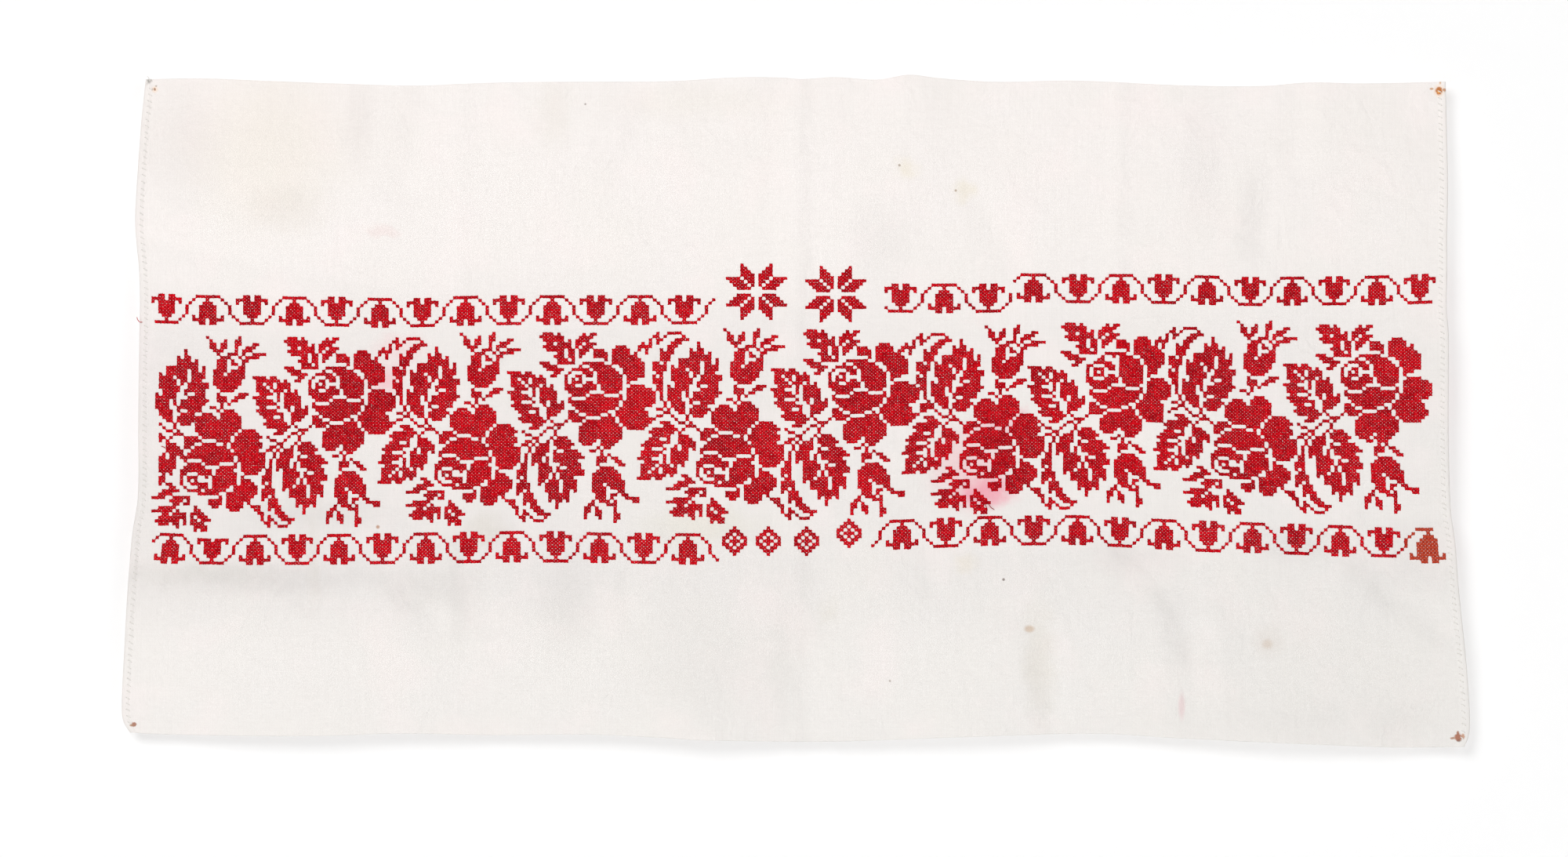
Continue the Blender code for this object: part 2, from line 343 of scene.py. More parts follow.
turnedRose = """
..............XXX........
........XXX..XXXXX.......
........XXXX.XXXXX.X.....
........XXXX.XXXXXXX.....
...........X.XXXXXXXX....
.....XXXXXX..XXXXXXXXX...
....X..XXXXXX..XXXXXXX...
..XXXXX.XXXXXX..XXXXXX...
.X...XXX.XXXXXX.XXXXXX...
X..XX.XX.XXXXXXX.XXXXX...
X.X.X....XXXXXXX.XXX.....
X.XXX.XX.XXXXXXX.X.......
XXX..XXXX.XXXXXX..XXXX...
XXXXXXXXX.XXXXXX.XXXXXXX.
.XXXXXX....XXXX..XXXXXXXX
..XXXX.XXXX....X.XXXXXXXX
.X....XXXXXXXXXX.XXXXXXXX
.XXXXXXXXXXXXXX.XXXXXXXXX
..XXXXXXXXXXXXX.XXXXXXXX.
...XXXXXXXXXXX.XXXXXXX...
.XX.XXXXXXXX..XXXXXXXXX..
.XXX..XXXX..X.XXXXXXXXX..
.XXXXX....XXXX.XXXXXXXXX..
..XXX.XXXXXXXX.XXXXXXXXX..
.....XXXXXXXXXX.XXXXXXX..
....XXXXXXXXXXXX.XXXXX...
....XXXXXXXXXXXX.........
....XXXXXXXXXXXX.........
....XXXXXXXXXXXX.........
....XXXXX.XXXXX..........
.....XXX..XXXX...........
...........XX............
"""
longRose = """
..............XXX........
........XXX..XXXXX.......
........XXXX.XXXXX.X.....
........XXXX.XXXXXXX.....
...........X.XXXXXXXX....
.....XXXXXX..XXXXXXXXX...
....X..X.XXXX..XXXXXXX...
...XX....XXXXXX.XXXXXX...
..XXXXX..XXXXXX.XXXXXX...
XX...XXX.XXXXXXX.XXXX....
X.XXX.XX.XXXXXXX.XXX.....
X.X.X....XXXXXXX.XXX.....
X.XXX.XX.XXXXXXX.X.......
XX...XXXX.XXXXXX..XXXX...
XXXXXXXXX.XXXXXX.XXXXXX..
.XXXXXX....XXXX..XXXXXXX.
..XXXX.XXXX....X.XXXXXXX.
.X....XXXXXXXXXX.XXXXXXX.
.XXXXXXXXXXXXXX.XXXXXXXX.
..XXXXXXXXXXXXX.XXXXXXX..
...XXXXXXXXXXX.XXXXXX....
.XX.XXXXXXXX..XXXXXXXX...
.XXX..XXXX..X.XXXXXXXX...
.XXXXX....XXXX.XXXXXXX...
.XXXX.XXXXXXXX.XXXXXXX...
.....XXXXXXXXXX.XXXXXX...
....XXXXXXXXXXXX.XXXXX...
....XXXXXXXXXXXX.........
....XXXXXXXXXXXX.........
....XXXXX.XXXXXX.........
.....XXX...XXXX..........
...........XXX...........
"""
horn = """
....XX.X.....
......X......
......X......
.....X.......
.....X.......
.....X.......
....XX.......
....XX.......
...XXX.......
...XXX.......
...X.X.......
....XX.......
...XXXX......
...XXXX......
...XX.X......
...X.XXX.....
.....XXX.....
XXX..XXXX....
.XX..X.XX....
..XX...XXX...
...X.X..XXX..
...X.XX..XXXX
....XX.X...X.
.....X..XXX..
"""
turnedHorn = """
.....X..XXXX..
....XX.X....X.
...X.XX...XXXX
.X.X.X...XXX..
XXXX....XXX...
X.X...X.XX....
..X...XXXX....
......XXX.....
......XXX.....
....XX.X......
....XXXX......
....XXXX......
.....XX.......
....X.X.......
....XXX.......
....XXX.......
.....XX.......
.....XX.......
......X.......
......X.......
......X.......
.......X......
.......X......
.....XX.X.....
"""
bigLeaf = """
.......XXX.....
....X.XXXXX....
..XXX.XXXXXX...
.XXXX..XXXX....
.XXXX.X..XXXX..
XXXX..XXXXXXXX.
XXXX.X.XXXXXXXX
XXXX.X.XXXXXX..
X.XXXX...XXXXX.
..XXXXX.X..XXX.
..XXXXX.XXXXXXX
..XXXX.X.XXXXXX
..XXXX.X.XXXX..
..XXX.XXX.XXXX.
..X.XXXXX.XXXX.
....XXXXX.XXXX.
....XXXXX.XX.X.
......XXXXXX...
......XXXXXX...
......X.XX.X...
........X......
........X......
"""
turnedLeaf = """
........X......
........X......
......X.XX.....
......XXXX.X...
......XXXXXX...
...XXXXXXXXX.X.
...XXXXXX.XX.X.
.X.XXXXXX.XXXX.
.XXXX.XXX.XXXX.
.XXXXX.XX.XXX..
.XXXXX.X.XXXXXX
.XXXXXX..XXXXXX
..XXXXX.XXXXXX.
X.XXXX..X..XXX.
XXXXXX...XXXXX.
XXXX.X.XXXXXXXX
XXXX.X.XXXXXXX.
XXXX..XXXXXXX..
.XXXX.X..XXXX..
.XXXX..XXXX....
..XXX.XXXXXX...
...XX.XXXXX....
.......XXX.....
"""
narrowLeaf = """
.......XXX.....
....X.XXXXX....
..XXX.XXXXXX...
.XXXX..XXXX....
.XXXX.X..XXXX..
XXXX..XXXXXXXX.
XXX.X.XXXXXXXXX
XXX.X.XXXXXXX..
X.XXX...XXXXXX.
..XXXX.X..XXXX.
..XXXX.XXXXXXXX
..XXX.X.XXXXXXX
..XXX.X.XXXX...
..XX.XXX.XXXX..
..X.XXXX.XXXX..
....XXXX.XXXX..
....XXXX.XX.X..
.....XXXXXX....
.....XXXXXX....
.....X.XX.X....
.......X.......
.......X.......
"""
smallLeaf = """
......XXX.......
.......XXX......
....XXXXXXX.....
...XXXXXXX.X....
....XXXXX..XXX..
...XXX..X..XXXX.
..XXXXXXX..XXXXX
.XXXXXX...X.XXXX
..XX...X.XX.XX.X
.XXXXXX..XXXXX..
.XXXXX.X.XXXXX..
XXXX...X.XXXXX..
..XXXX.X.XXXX...
.XXXX.XXX.X.X...
.XXX.X.XXXX.....
.XX.XX.XXXX.....
.XXXXXXX.X......
XXXX.XX.........
"""
leafStalk = """
.X....
..X...
..X...
XX.X..
..XXX.
.X...X
"""
tendrilKnot = """
X.....X
.XX..X.
...XX..
.XX.X..
"""
sprig = """
....XX...........
.....XX..........
...XXXXX.........
..XXXX...........
XXXX..XXXXX......
.....XXXX.X......
......XX.XX......
..XXXXX.....X....
XXXXXX.X....XX...
...XX.XXXX.XXXX..
..XXXXXXXX.X.XXX.
.XXXXXXX.X.XX.XXX
..XXX.XX.X.XXXX..
.......X....XXXX.
............X.XX.
"""
upperSprig = """
.XXX.X......X.XX
XXXXXXX....XXXX.
.XXXXXX.X.XXXX..
..XX.XXXX.XX.XXX
.XXXXXXXX.X.XXX.
..XXXXX.XX.XXX..
.....XX.XX.XX...
....XXX.XX.X....
.....XXX.X......
XXX..XXXXX......
.XXXX...........
..XXXXX.........
....XX..........
...XX...........
"""
hangingBud = """
...X...........
.XX.X..........
....X.X........
...XXX.XX......
...XXX..XX.....
...X.....XX....
....XXXX.......
...XXXXXX......
..XXXXXXXX.....
..XXXXXXXX.....
..XXXXXXXXX....
..XXX.XXXXX....
..XXXX.XXXX....
..XXXX...XX....
...XXX.XX.XX...
...XXX.X...XXXX
..X.XXX.X....XX
.XX...XXX......
XX.X....X......
XX.XX...X......
X..XX...XX.....
X...X...XX.....
........X......
"""
uprightBud = """
X........X.......
.X...X..XX.......
.XX.XX..XX...XX..
.XX.XX..X..XXX...
..XXX...X.XXX....
...X..XXX.X..XXXX
....XXX..X.XXXX..
...XXX.X..XX.....
...XXX.XX.X......
...XXX...XX......
..XXXX.XXXX......
..XXX.XXXXX......
..XXXXXXXXX......
..XXXXXXXX.......
..XXXXXXXX.......
...XXXXXX........
....XXXX.........
...X.....XXX.....
...XXX..XXX......
...XXX.XX........
....X.X..........
.XX.X............
...X.............
"""
scroll = """
..XX.XX......XXXXXXX....
XXXX.XXXX...X...X...X...
X.XXXXX.X..X...XXX...X..
..XXXXX...X...XXXXX...X.
..XXXXX...X...XXXXX...X.
..XXXXX...X...XXXXX...X.
...XXX...X..X.XXXXX.X..X
X...X...X...XXXX.XXXX...
.XXXXXXX......XX.XX.....
"""
starQuarter = """
....X....
....XX...
....XXX..
....XXXX.
XXXX.XXX.
.XXXX.XX.
..XXXX.X.
...XXXX..
.........
"""
lozenge = """
...X...
..XXX..
.XX.XX.
XX.X.XX
X.XXX.X
XX.X.XX
.XX.XX.
..XXX..
...X...
"""
endBell = """
..XXXXX....
.....X.....
....XXX....
...XXXXX...
..XXXXXX...
..XXXXXX...
..XXXXXX...
X.XXXXXX.X.
XXXXX.XXXX.
...XX.XX...
"""


def mirrored(quarter):
    # a whole chart from its upper left quarter, which holds the middle column and row
    rows = [row + row[-2::-1] for row in quarter.split()]
    return "\n".join(rows + rows[-2::-1])


star = mirrored(starQuarter)


def readChart(chart):
    return {(c, r) for r, line in enumerate(chart.split()) for c, mark in enumerate(line) if mark == "X"}


# The band: groups of motifs that stand and groups that are turned upside down, by the column where each
# begins; each group is a row higher than the last of its kind
band = dict(
    standing=(0, 72, 144, 216, 286), standingRow=1,
    turned=(-36, 36, 108, 180, 251, 322), turnedRow=65,
    firstColumn=-2, lastColumn=353,
    placedRows=(8, 32, 56),
    pieces=[("bandLeft", -2, 118), ("bandMiddle", 118, 236), ("bandRight", 236, 354)],
)

# Charts with their column and row in a group
standingMotifs = [
    (rose, 6, 25), (bigLeaf, 33, 35), (horn, 26, 37), (sprig, -2, 47), (hangingBud, 48, 38),
    (smallLeaf, -10, 31), (leafStalk, 1, 28), (tendrilKnot, 30, 33),
]
turnedMotifs = [
    (turnedRose, 6, -56), (turnedLeaf, 34, -57), (turnedHorn, 26, -60), (upperSprig, -1, -60),
    (uprightBud, 49, -61), (smallLeaf, -10, -31), (leafStalk, 1, -28), (tendrilKnot, 30, -34),
]
flippedWhenTurned = (smallLeaf, leafStalk, tendrilKnot)

# Where the needle worker counted differently: column of the group, chart, columns and rows further on
miscounts = [
    (0, smallLeaf, 1, 0), (0, leafStalk, 1, 0), (216, hangingBud, -1, -1), (286, hangingBud, 0, -1),
    (216, tendrilKnot, -1, 1), (-36, turnedLeaf, 1, 0), (-36, tendrilKnot, 1, 0), (180, turnedHorn, 0, 1),
    (251, tendrilKnot, -1, 0), (251, turnedHorn, -1, 0), (251, turnedLeaf, -1, 0), (251, uprightBud, -1, -1),
    (251, smallLeaf, 0, 1), (251, leafStalk, 0, 1), (251, upperSprig, 0, -1), (251, turnedRose, 0, -1),
]
workedInstead = [(72, bigLeaf, narrowLeaf), (251, turnedRose, longRose)]
leftOut = [
    (-36, turnedRose), (-36, smallLeaf), (-36, leafStalk), (-36, turnedHorn), (-36, upperSprig),
    (322, turnedHorn), (322, turnedLeaf), (322, tendrilKnot), (322, uprightBud),
]
startsAtEdge = [(0, smallLeaf), (-36, tendrilKnot)]   # worked from column 0 on


def groupCells(column, row, motifs, turned):
    cells = set()
    for chart, c, r in motifs:
        if (column, chart) in leftOut:
            continue
        for at, other, columns, rows in miscounts:
            if at == column and other is chart:
                c, r = c + columns, r + rows
        first = 0 if (column, chart) in startsAtEdge else band["firstColumn"]
        upDown = -1 if turned and chart in flippedWhenTurned else 1
        for at, other, instead in workedInstead:
            if at == column and other is chart:
                chart = instead
        motif = {(column + c + i, row + r + j * upDown) for i, j in readChart(chart)}
        cells |= {(i, j) for i, j in motif if first <= i <= band["lastColumn"]}
    return cells


def bandCells():
    cells = set()
    for number, column in enumerate(band["standing"]):
        cells |= groupCells(column, band["standingRow"] - number, standingMotifs, False)
    for number, column in enumerate(band["turned"]):
        cells |= groupCells(column, band["turnedRow"] - number, turnedMotifs, True)
    return cells


def scrollCells(first, last, leaveOut):
    # columns of the scroll border, which repeats every 24; column 0 is a tulip's left hook
    motif = readChart(scroll)
    cells = {(c, r) for c in range(first, last + 1) for r in range(9) if (c % 24, r) in motif}
    return cells - set(leaveOut)


# Where the band's columns lie: column, then x and z at each of the placed rows. Scratch scripts measured
# these in the photo and rounded them to half a millimetre.
bandPlaces = [
    (0, -437, -187, -437, -242.5, -437.5, -297.5),
    (24, -377.5, -187.5, -377.5, -242.5, -379, -297),
    (48, -320, -188, -319.5, -241.5, -322, -296.5),
    (72, -262, -188, -261.5, -241.5, -262.5, -296),
    (96, -202.5, -186.5, -202, -241, -204, -295),
    (120, -143, -187, -143, -240, -144.5, -295.5),
    (144, -82, -186.5, -82, -241.5, -83, -296),
    (168, -20.5, -186.5, -21.5, -241.5, -21.5, -296.5),
    (192, 38.5, -187.5, 39, -241, 39, -295),
    (216, 99.5, -187, 99.5, -239.5, 99.5, -292.5),
    (240, 158.5, -185.5, 158, -238, 158, -291.5),
    (264, 219.5, -187, 218, -239, 218, -291),
    (288, 277.5, -187.5, 276.5, -241, 278.5, -294),
    (312, 337, -188, 336.5, -242.5, 338.5, -295.5),
    (336, 396.5, -188.5, 396.5, -242.5, 398.5, -298),
    (348, 427, -188, 427, -242.5, 429, -299),
]


def placesOn(table, placedRows, column, row):
    # where a place of the chart lies on the cloth, also between the rows of its table and past them
    table, placedRows = np.array(table, float), np.array(placedRows, float)
    row = np.asarray(row, float)
    step = np.clip(np.searchsorted(table[:, 0], column) - 1, 0, len(table) - 2)
    t = ((column - table[step, 0]) / (table[step + 1, 0] - table[step, 0]))[:, None, None]
    here = table[:, 1:].reshape(len(table), -1, 2)
    here = here[step] + (here[step + 1] - here[step]) * t
    down = np.clip(np.searchsorted(placedRows, row) - 1, 0, len(placedRows) - 2)
    share = ((row - placedRows[down]) / (placedRows[down + 1] - placedRows[down]))[:, None]
    each = np.arange(len(here))
    return here[each, down] + (here[each, down + 1] - here[each, down]) * share


# One leg of a cross: share along it, width, height of its sides, height of its crown
underLeg = np.array([
    (0.0, 0.46, -0.12, 0.08), (0.18, 0.96, 0.02, 0.38), (0.82, 0.96, 0.02, 0.38), (1.0, 0.46, -0.12, 0.08),
])
overLeg = np.array([
    (0.0, 0.48, -0.10, 0.10), (0.16, 0.94, 0.05, 0.44), (0.5, 1.03, 0.30, 0.76), (0.84, 0.94, 0.05, 0.44),
    (1.0, 0.48, -0.10, 0.10),
])
backBar = np.array([(0.0, 0.66, -0.08, 0.12), (0.5, 1.0, 0.05, 0.5), (1.0, 0.66, -0.08, 0.12)])
hemLeg = overLeg * (1, 1, 0.4, 0.55)   # the same leg, drawn flatter
cross = dict(
    width=1.40, widthSpread=0.06, wander=0.085, pastHole=0.01,
    # shares of a column and a row; drawnIn at free corners
    pinchAcross=0.015, pinchDown=0.045, drawnIn=0.06,
    backWidth=1.85, backSpread=0.1, backWander=0.1,
)


def legMesh(starts, ends, profile, width, surface, away, across=(-1.0, -0.5, 0.5, 1.0)):
    # a rounded strand from start to end over the cloth; away is -1 on the worked side, 1 at the back
    count = len(starts)
    share, wide, low, crown = profile.T
    s = np.array(across)
    heights = np.where(np.abs(s)[None, :] > 0.9, low[:, None], crown[:, None])
    run = ends - starts
    length = np.linalg.norm(run, axis=1, keepdims=True)
    side = np.stack([-run[:, 1], run[:, 0]], 1) / length
    if away > 0:
        side = -side
    halfWidth = wide[None, :, None] * s[None, None, :] * (width[:, None, None] / 2)
    plan = starts[:, None, None, :] + share[None, :, None, None] * run[:, None, None, :]
    plan = plan + halfWidth[..., None] * side[:, None, None, :]
    x, z = plan[..., 0], plan[..., 1]
    y = surface(x, z) + away * heights[None]
    points = np.stack([x, y, z], -1).reshape(-1, 3)
    stations, wideCount = len(share), len(s)
    local = np.arange(stations * wideCount).reshape(stations, wideCount)
    quad = np.stack([local[:-1, :-1], local[:-1, 1:], local[1:, 1:], local[1:, :-1]], -1).reshape(-1, 4)
    faces = (quad[None] + (np.arange(count) * stations * wideCount)[:, None, None]).reshape(-1, 4)
    uv = np.stack(np.broadcast_arrays(
        share[None, :, None] + dice.integers(0, 9, (count, 1, 1)), (s / 2 + 0.5)[None, None, :],
    ), -1).reshape(-1, 2)
    return points, faces, uv, np.repeat(dice.random(count), stations * wideCount)


def joinParts(parts):
    points, faces, uv, shade, first = [], [], [], [], 0
    for p, f, u, s in parts:
        points.append(p)
        faces.append(f + first)
        uv.append(u)
        shade.append(s)
        first += len(p)
    return np.concatenate(points), np.concatenate(faces), np.concatenate(uv), np.concatenate(shade)


def workCrosses(cells, table, rows, worked):
    # two legs for each cross on the worked side, and the bars at the back; worked has the neighbours too
    cells = np.array(sorted(cells), float)
    column, row = cells[:, 0], cells[:, 1]
    corner = {}
    for i, j in ((-1, -1), (-1, 1), (1, -1), (1, 1)):
        alone = np.array([(c + i, r + j) not in worked for c, r in cells])
        freeSide = alone & np.array([(c + i, r) not in worked for c, r in cells])
        freeEnd = alone & np.array([(c, r + j) not in worked for c, r in cells])
        across = 0.5 - cross["pinchAcross"] - cross["drawnIn"] * freeSide
        down = 0.5 - cross["pinchDown"] - cross["drawnIn"] * freeEnd
        corner[(i, j)] = placesOn(table, rows, column + i * across, row + j * down)
    parts = []
    for profile, a, b in ((underLeg, (-1, 1), (1, -1)), (overLeg, (-1, -1), (1, 1))):
        start, end = corner[a], corner[b]
        past = (end - start) * cross["pastHole"]
        start = start - past + dice.normal(0, cross["wander"], start.shape)
        end = end + past + dice.normal(0, cross["wander"], end.shape)
        width = cross["width"] * (1 + dice.normal(0, cross["widthSpread"], len(cells)))
        parts.append(legMesh(start, end, profile, width, clothFront, -1))
    leftSide = [(c, r) for c, r in cells]
    rightSide = [(c + 1, r) for c, r in cells if (c + 1, r) not in set(leftSide)]
    bars = np.array(leftSide + rightSide)
    start = placesOn(table, rows, bars[:, 0] - 0.5, bars[:, 1] - 0.5)
    end = placesOn(table, rows, bars[:, 0] - 0.5, bars[:, 1] + 0.5)
    start = start + dice.normal(0, cross["backWander"], start.shape)
    end = end + dice.normal(0, cross["backWander"], end.shape)
    width = cross["backWidth"] * (1 + dice.normal(0, cross["backSpread"], len(bars)))
    back = legMesh(start, end, backBar, width, clothBack, 1, (-1.0, 0.0, 1.0))
    return parts, back


# Each run of the borders: its columns, cells left out at its ends, and where it lies (column, x and z at
# the top row, x and z at the bottom row), typed from what a scratch script measured in the photo
borderRuns = dict(
    upperLeft=dict(
        columns=(0, 156), leaveOut=[(0, 7), (156, 6), (156, 7)],
        places=[
            (4, -433, -149, -433, -167.5), (16, -405, -150, -405, -168.5), (28, -374, -150, -374, -168.5),
            (40, -345, -151, -345, -169), (52, -316, -151, -316, -169.5), (64, -286, -152, -286, -170.5),
            (76, -257, -152, -257, -170), (88, -227, -150.5, -227, -169), (100, -197.5, -150, -197.5, -168.5),
            (124, -137.5, -150, -137.5, -168.5), (136, -107, -150, -107, -168.5),
            (148, -76.5, -150, -76.5, -168),
        ],
    ),
    upperMiddle=dict(
        columns=(0, 34), leaveOut=[],
        places=[(4, 72.5, -142, 72.5, -160), (16, 102.5, -142, 102.5, -160.5), (28, 133, -142, 133, -160)],
    ),
    upperRight=dict(
        columns=(11, 128), leaveOut=[(128, 7)],
        places=[
            (16, 164, -135, 164, -153), (28, 195, -135.5, 195, -153.5), (52, 253.5, -135.5, 253.5, -154),
            (76, 313.5, -137.5, 313.5, -155.5), (100, 371, -137, 371, -155),
            (112, 400.5, -136.5, 400.5, -155), (124, 430, -135.5, 430, -154),
        ],
    ),
    lowerLeft=dict(
        columns=(11, 168), leaveOut=[(26, 0), (27, 0), (29, 0), (30, 0), (168, 1), (168, 2)],
        places=[
            (16, -429.5, -314, -431.5, -333), (28, -401, -315.5, -402.5, -333.5),
            (40, -372, -315, -372.5, -334), (64, -314.5, -314.5, -314.5, -333.5),
            (88, -254.5, -313.5, -254.5, -333), (112, -195.5, -312.5, -195.5, -332),
            (124, -165, -312.5, -165, -332), (136, -135, -313.5, -135, -332.5), (160, -74, -314, -74, -333.5),
        ],
    ),
    lowerRight=dict(
        columns=(8, 156), leaveOut=[(8, 1), (8, 2), (156, 6), (156, 7)],
        places=[
            (16, 73.5, -304.5, 73.5, -323), (40, 134, -302, 134, -320.5), (64, 194.5, -301.5, 194.5, -320),
            (76, 223.5, -303, 223.5, -321.5), (100, 284.5, -305.5, 284.5, -325),
            (112, 315, -306.5, 315, -325.5), (136, 375.5, -308.5, 375.5, -328),
            (148, 405.5, -310, 405.5, -328.5),
        ],
    ),
)

# Small motifs between the runs: chart, places of its first and last column
smallMotifs = [
    (star, [(0, -46.7, -128.2, -46.7, -165.0), (16, -6.8, -128.2, -6.8, -165.0)]),
    (star, [(0, 7.9, -129.9, 7.9, -166.6), (16, 47.8, -129.9, 47.8, -166.6)]),
    (lozenge, [(0, -49.3, -309.2, -49.3, -327.5), (6, -34.4, -309.2, -34.4, -327.5)]),
    (lozenge, [(0, -26.1, -309.2, -26.1, -327.5), (6, -11.1, -309.2, -11.1, -327.5)]),
    (lozenge, [(0, 0.3, -309.2, 0.3, -327.5), (6, 15.3, -309.2, 15.3, -327.5)]),
    (lozenge, [(0, 29.5, -303.8, 29.5, -322.1), (6, 44.5, -303.8, 44.5, -322.1)]),
    (endBell, [(0, 423.1, -310.3, 424.6, -332.6), (10, 448.2, -310.3, 449.7, -332.6)]),
]


def addStitches(name, parts, material):
    points, faces, uv, shade = joinParts(parts)
    return addMesh(name, points, faces, material, shade, uv)


def embroider(material):
    pieces, backs = [], []
    cells = bandCells()
    for name, first, last in band["pieces"]:
        part = {(c, r) for c, r in cells if first <= c < last}
        legs, back = workCrosses(part, bandPlaces, band["placedRows"], cells)
        pieces.append(addStitches(name, legs, material))
        backs.append(back)
    for name, runs in (("upperBorder", ("upperLeft", "upperMiddle", "upperRight")),
                       ("lowerBorder", ("lowerLeft", "lowerRight"))):
        worked = []
        for run in runs:
            plan = borderRuns[run]
            runCells = scrollCells(*plan["columns"], plan["leaveOut"])
            legs, back = workCrosses(runCells, plan["places"], (0, 8), runCells)
            worked += legs
            backs.append(back)
        pieces.append(addStitches(name, worked, material))
    worked = []
    for chart, places in smallMotifs:
        motif = readChart(chart)
        legs, back = workCrosses(motif, places, (0, len(chart.split()) - 1), motif)
        worked += legs
        backs.append(back)
    pieces.append(addStitches("smallMotifs", worked, material))
    pieces.append(addStitches("backOfWork", backs, material))
    return pieces


# The hems' slanting stitches and the loose ends
hemStitch = dict(
    first=6.0, spacing=4.3, width=0.62, outer=3.1, inner=5.7, drop=1.5,
    spacingWander=0.35, sideWander=0.15, widthSpread=0.08,
)


def makeHemStitches(material):
    parts = []
    depths = np.arange(hemStitch["first"], cloth["height"] - 4.0, hemStitch["spacing"])
    for value, inward, insets in ((1, 1.0, ("outer", "inner")), (2, -1.0, ("inner", "outer"))):
        depth = depths + dice.normal(0, hemStitch["spacingWander"], len(depths))
        ends = []
        for inset, drop in zip(insets, (0.0, hemStitch["drop"])):
            at = depth + drop
            inside = hemStitch[inset] + dice.normal(0, hemStitch["sideWander"], len(at))
            x = readSmoothly(sides, value, at) + inward * inside
            top, foot = readSmoothly(topEdge, 1, x), readSmoothly(bottomEdge, 1, x)
            ends.append(np.stack([x, top + (foot - top) * at / cloth["height"]], 1))
        width = hemStitch["width"] * (1 + dice.normal(0, hemStitch["widthSpread"], len(depth)))
        parts.append(legMesh(ends[0], ends[1], hemLeg, width, clothFront, -1))
        parts.append(legMesh(ends[0], ends[1], hemLeg, width, clothBack, 1))
    return addStitches("hemStitches", parts, material)


def threadTube(controls, radius, steps=26, sideCount=6):
    # a thin round thread through x, z and height off the cloth, ending in a point at both ends
    table = [(i,) + tuple(c) for i, c in enumerate(controls)]
    at = np.linspace(0, len(controls) - 1, steps)
    x, z, lift = (readSmoothly(table, k, at) for k in (1, 2, 3))
    line = np.stack([x, clothFront(x, z) - lift, z], 1)
    ahead = np.gradient(line, axis=0)
    ahead /= np.linalg.norm(ahead, axis=1, keepdims=True)
    side = np.cross(ahead, (0.0, 1.0, 0.1))
    side /= np.linalg.norm(side, axis=1, keepdims=True)
    up = np.cross(side, ahead)
    angle = np.linspace(0, 2 * math.pi, sideCount, endpoint=False)
    thick = radius * np.clip(np.minimum(at, at[-1] - at) * 4 + 0.25, 0, 1)
    ring = np.cos(angle)[None, :, None] * side[:, None, :] + np.sin(angle)[None, :, None] * up[:, None, :]
    points = (line[:, None, :] + ring * thick[:, None, None]).reshape(-1, 3)
    local = np.arange(steps * sideCount).reshape(steps, sideCount)
    nextSide = np.roll(local, -1, axis=1)
    faces = np.stack([local[:-1], nextSide[:-1], nextSide[1:], local[1:]], -1).reshape(-1, 4)
    uv = np.stack(np.broadcast_arrays(at[:, None] * 3.0, (angle / (2 * math.pi))[None, :]), -1).reshape(-1, 2)
    return points, faces, uv, np.full(len(points), dice.random())


# x, z and height of the points that each loose red end passes through
redEnds = [
    [(-449.5, -167.6, 0.2), (-451.5, -167.4, 1.2), (-452.8, -165.8, 1.4), (-453.4, -164.0, 1.0)],
    [(128.6, -291.0, 0.3), (130.8, -293.6, 1.2), (132.0, -296.4, 0.7), (131.2, -299.0, 0.4)],
    [(131.0, -290.4, 0.3), (133.2, -293.0, 1.4), (134.8, -295.2, 1.0), (137.2, -296.8, 0.4)],
    [(-431.9, -255.2, 0.3), (-434.4, -253.6, 0.8), (-436.5, -252.9, 0.5)],
]


# The frayed knot at the corner top left
frayed = dict(threads=9, centre=(-446.6, -1.0), spread=0.8, shortest=1.2, longest=3.4, bend=1.2, radius=0.2)


def makeLooseEnds(redMaterial, whiteMaterial):
    red = [threadTube(line, 0.24) for line in redEnds]
    white = []
    spread, bend = frayed["spread"], frayed["bend"]
    for _ in range(frayed["threads"]):
        turn = dice.uniform(0, 2 * math.pi)
        reach = dice.uniform(frayed["shortest"], frayed["longest"])
        bent = turn + dice.uniform(-bend, bend)
        x, z = (place + dice.uniform(-spread, spread) for place in frayed["centre"])
        middle = (x + 0.5 * reach * math.cos(turn), z + 0.5 * reach * math.sin(turn), 1.4)
        end = (x + reach * math.cos(bent), z + reach * math.sin(bent), 0.5)
        white.append(threadTube([(x, z, 0.3), middle, end], frayed["radius"], 10, 5))
    return addStitches("redEnds", red, redMaterial), addStitches("frayedKnot", white, whiteMaterial)


# Materials
def addNode(tree, kind, inputs=None, **settings):
    node = tree.nodes.new(kind)
    for key, value in settings.items():
        setattr(node, key, value)
    for key, value in (inputs or {}).items():
        if isinstance(value, bpy.types.NodeSocket):
            tree.links.new(value, node.inputs[key])
        else:
            node.inputs[key].default_value = value
    return node


def calc(tree, operation, a, b=0.0, c=0.0):
    return addNode(tree, "ShaderNodeMath", {0: a, 1: b, 2: c}, operation=operation).outputs[0]


def vectorCalc(tree, operation, a, b, c=(0, 0, 0)):
    return addNode(tree, "ShaderNodeVectorMath", {0: a, 1: b, 2: c}, operation=operation).outputs[0]


def addNoise(tree, place, scale, detail, output="Fac", roughness=0.5):
    inputs = {"Vector": place, "Scale": scale, "Detail": detail, "Roughness": roughness}
    return addNode(tree, "ShaderNodeTexNoise", inputs).outputs[output]


def mapRange(tree, value, start, end, first=0.0, last=1.0, kind="LINEAR"):
    inputs = {"Value": value, "From Min": start, "From Max": end, "To Min": first, "To Max": last}
    return addNode(tree, "ShaderNodeMapRange", inputs, interpolation_type=kind).outputs[0]


def mixColour(tree, share, a, b, blend="MIX"):
    inputs = {0: share, 6: a, 7: b}
    return addNode(tree, "ShaderNodeMix", inputs, data_type="RGBA", blend_type=blend).outputs[2]


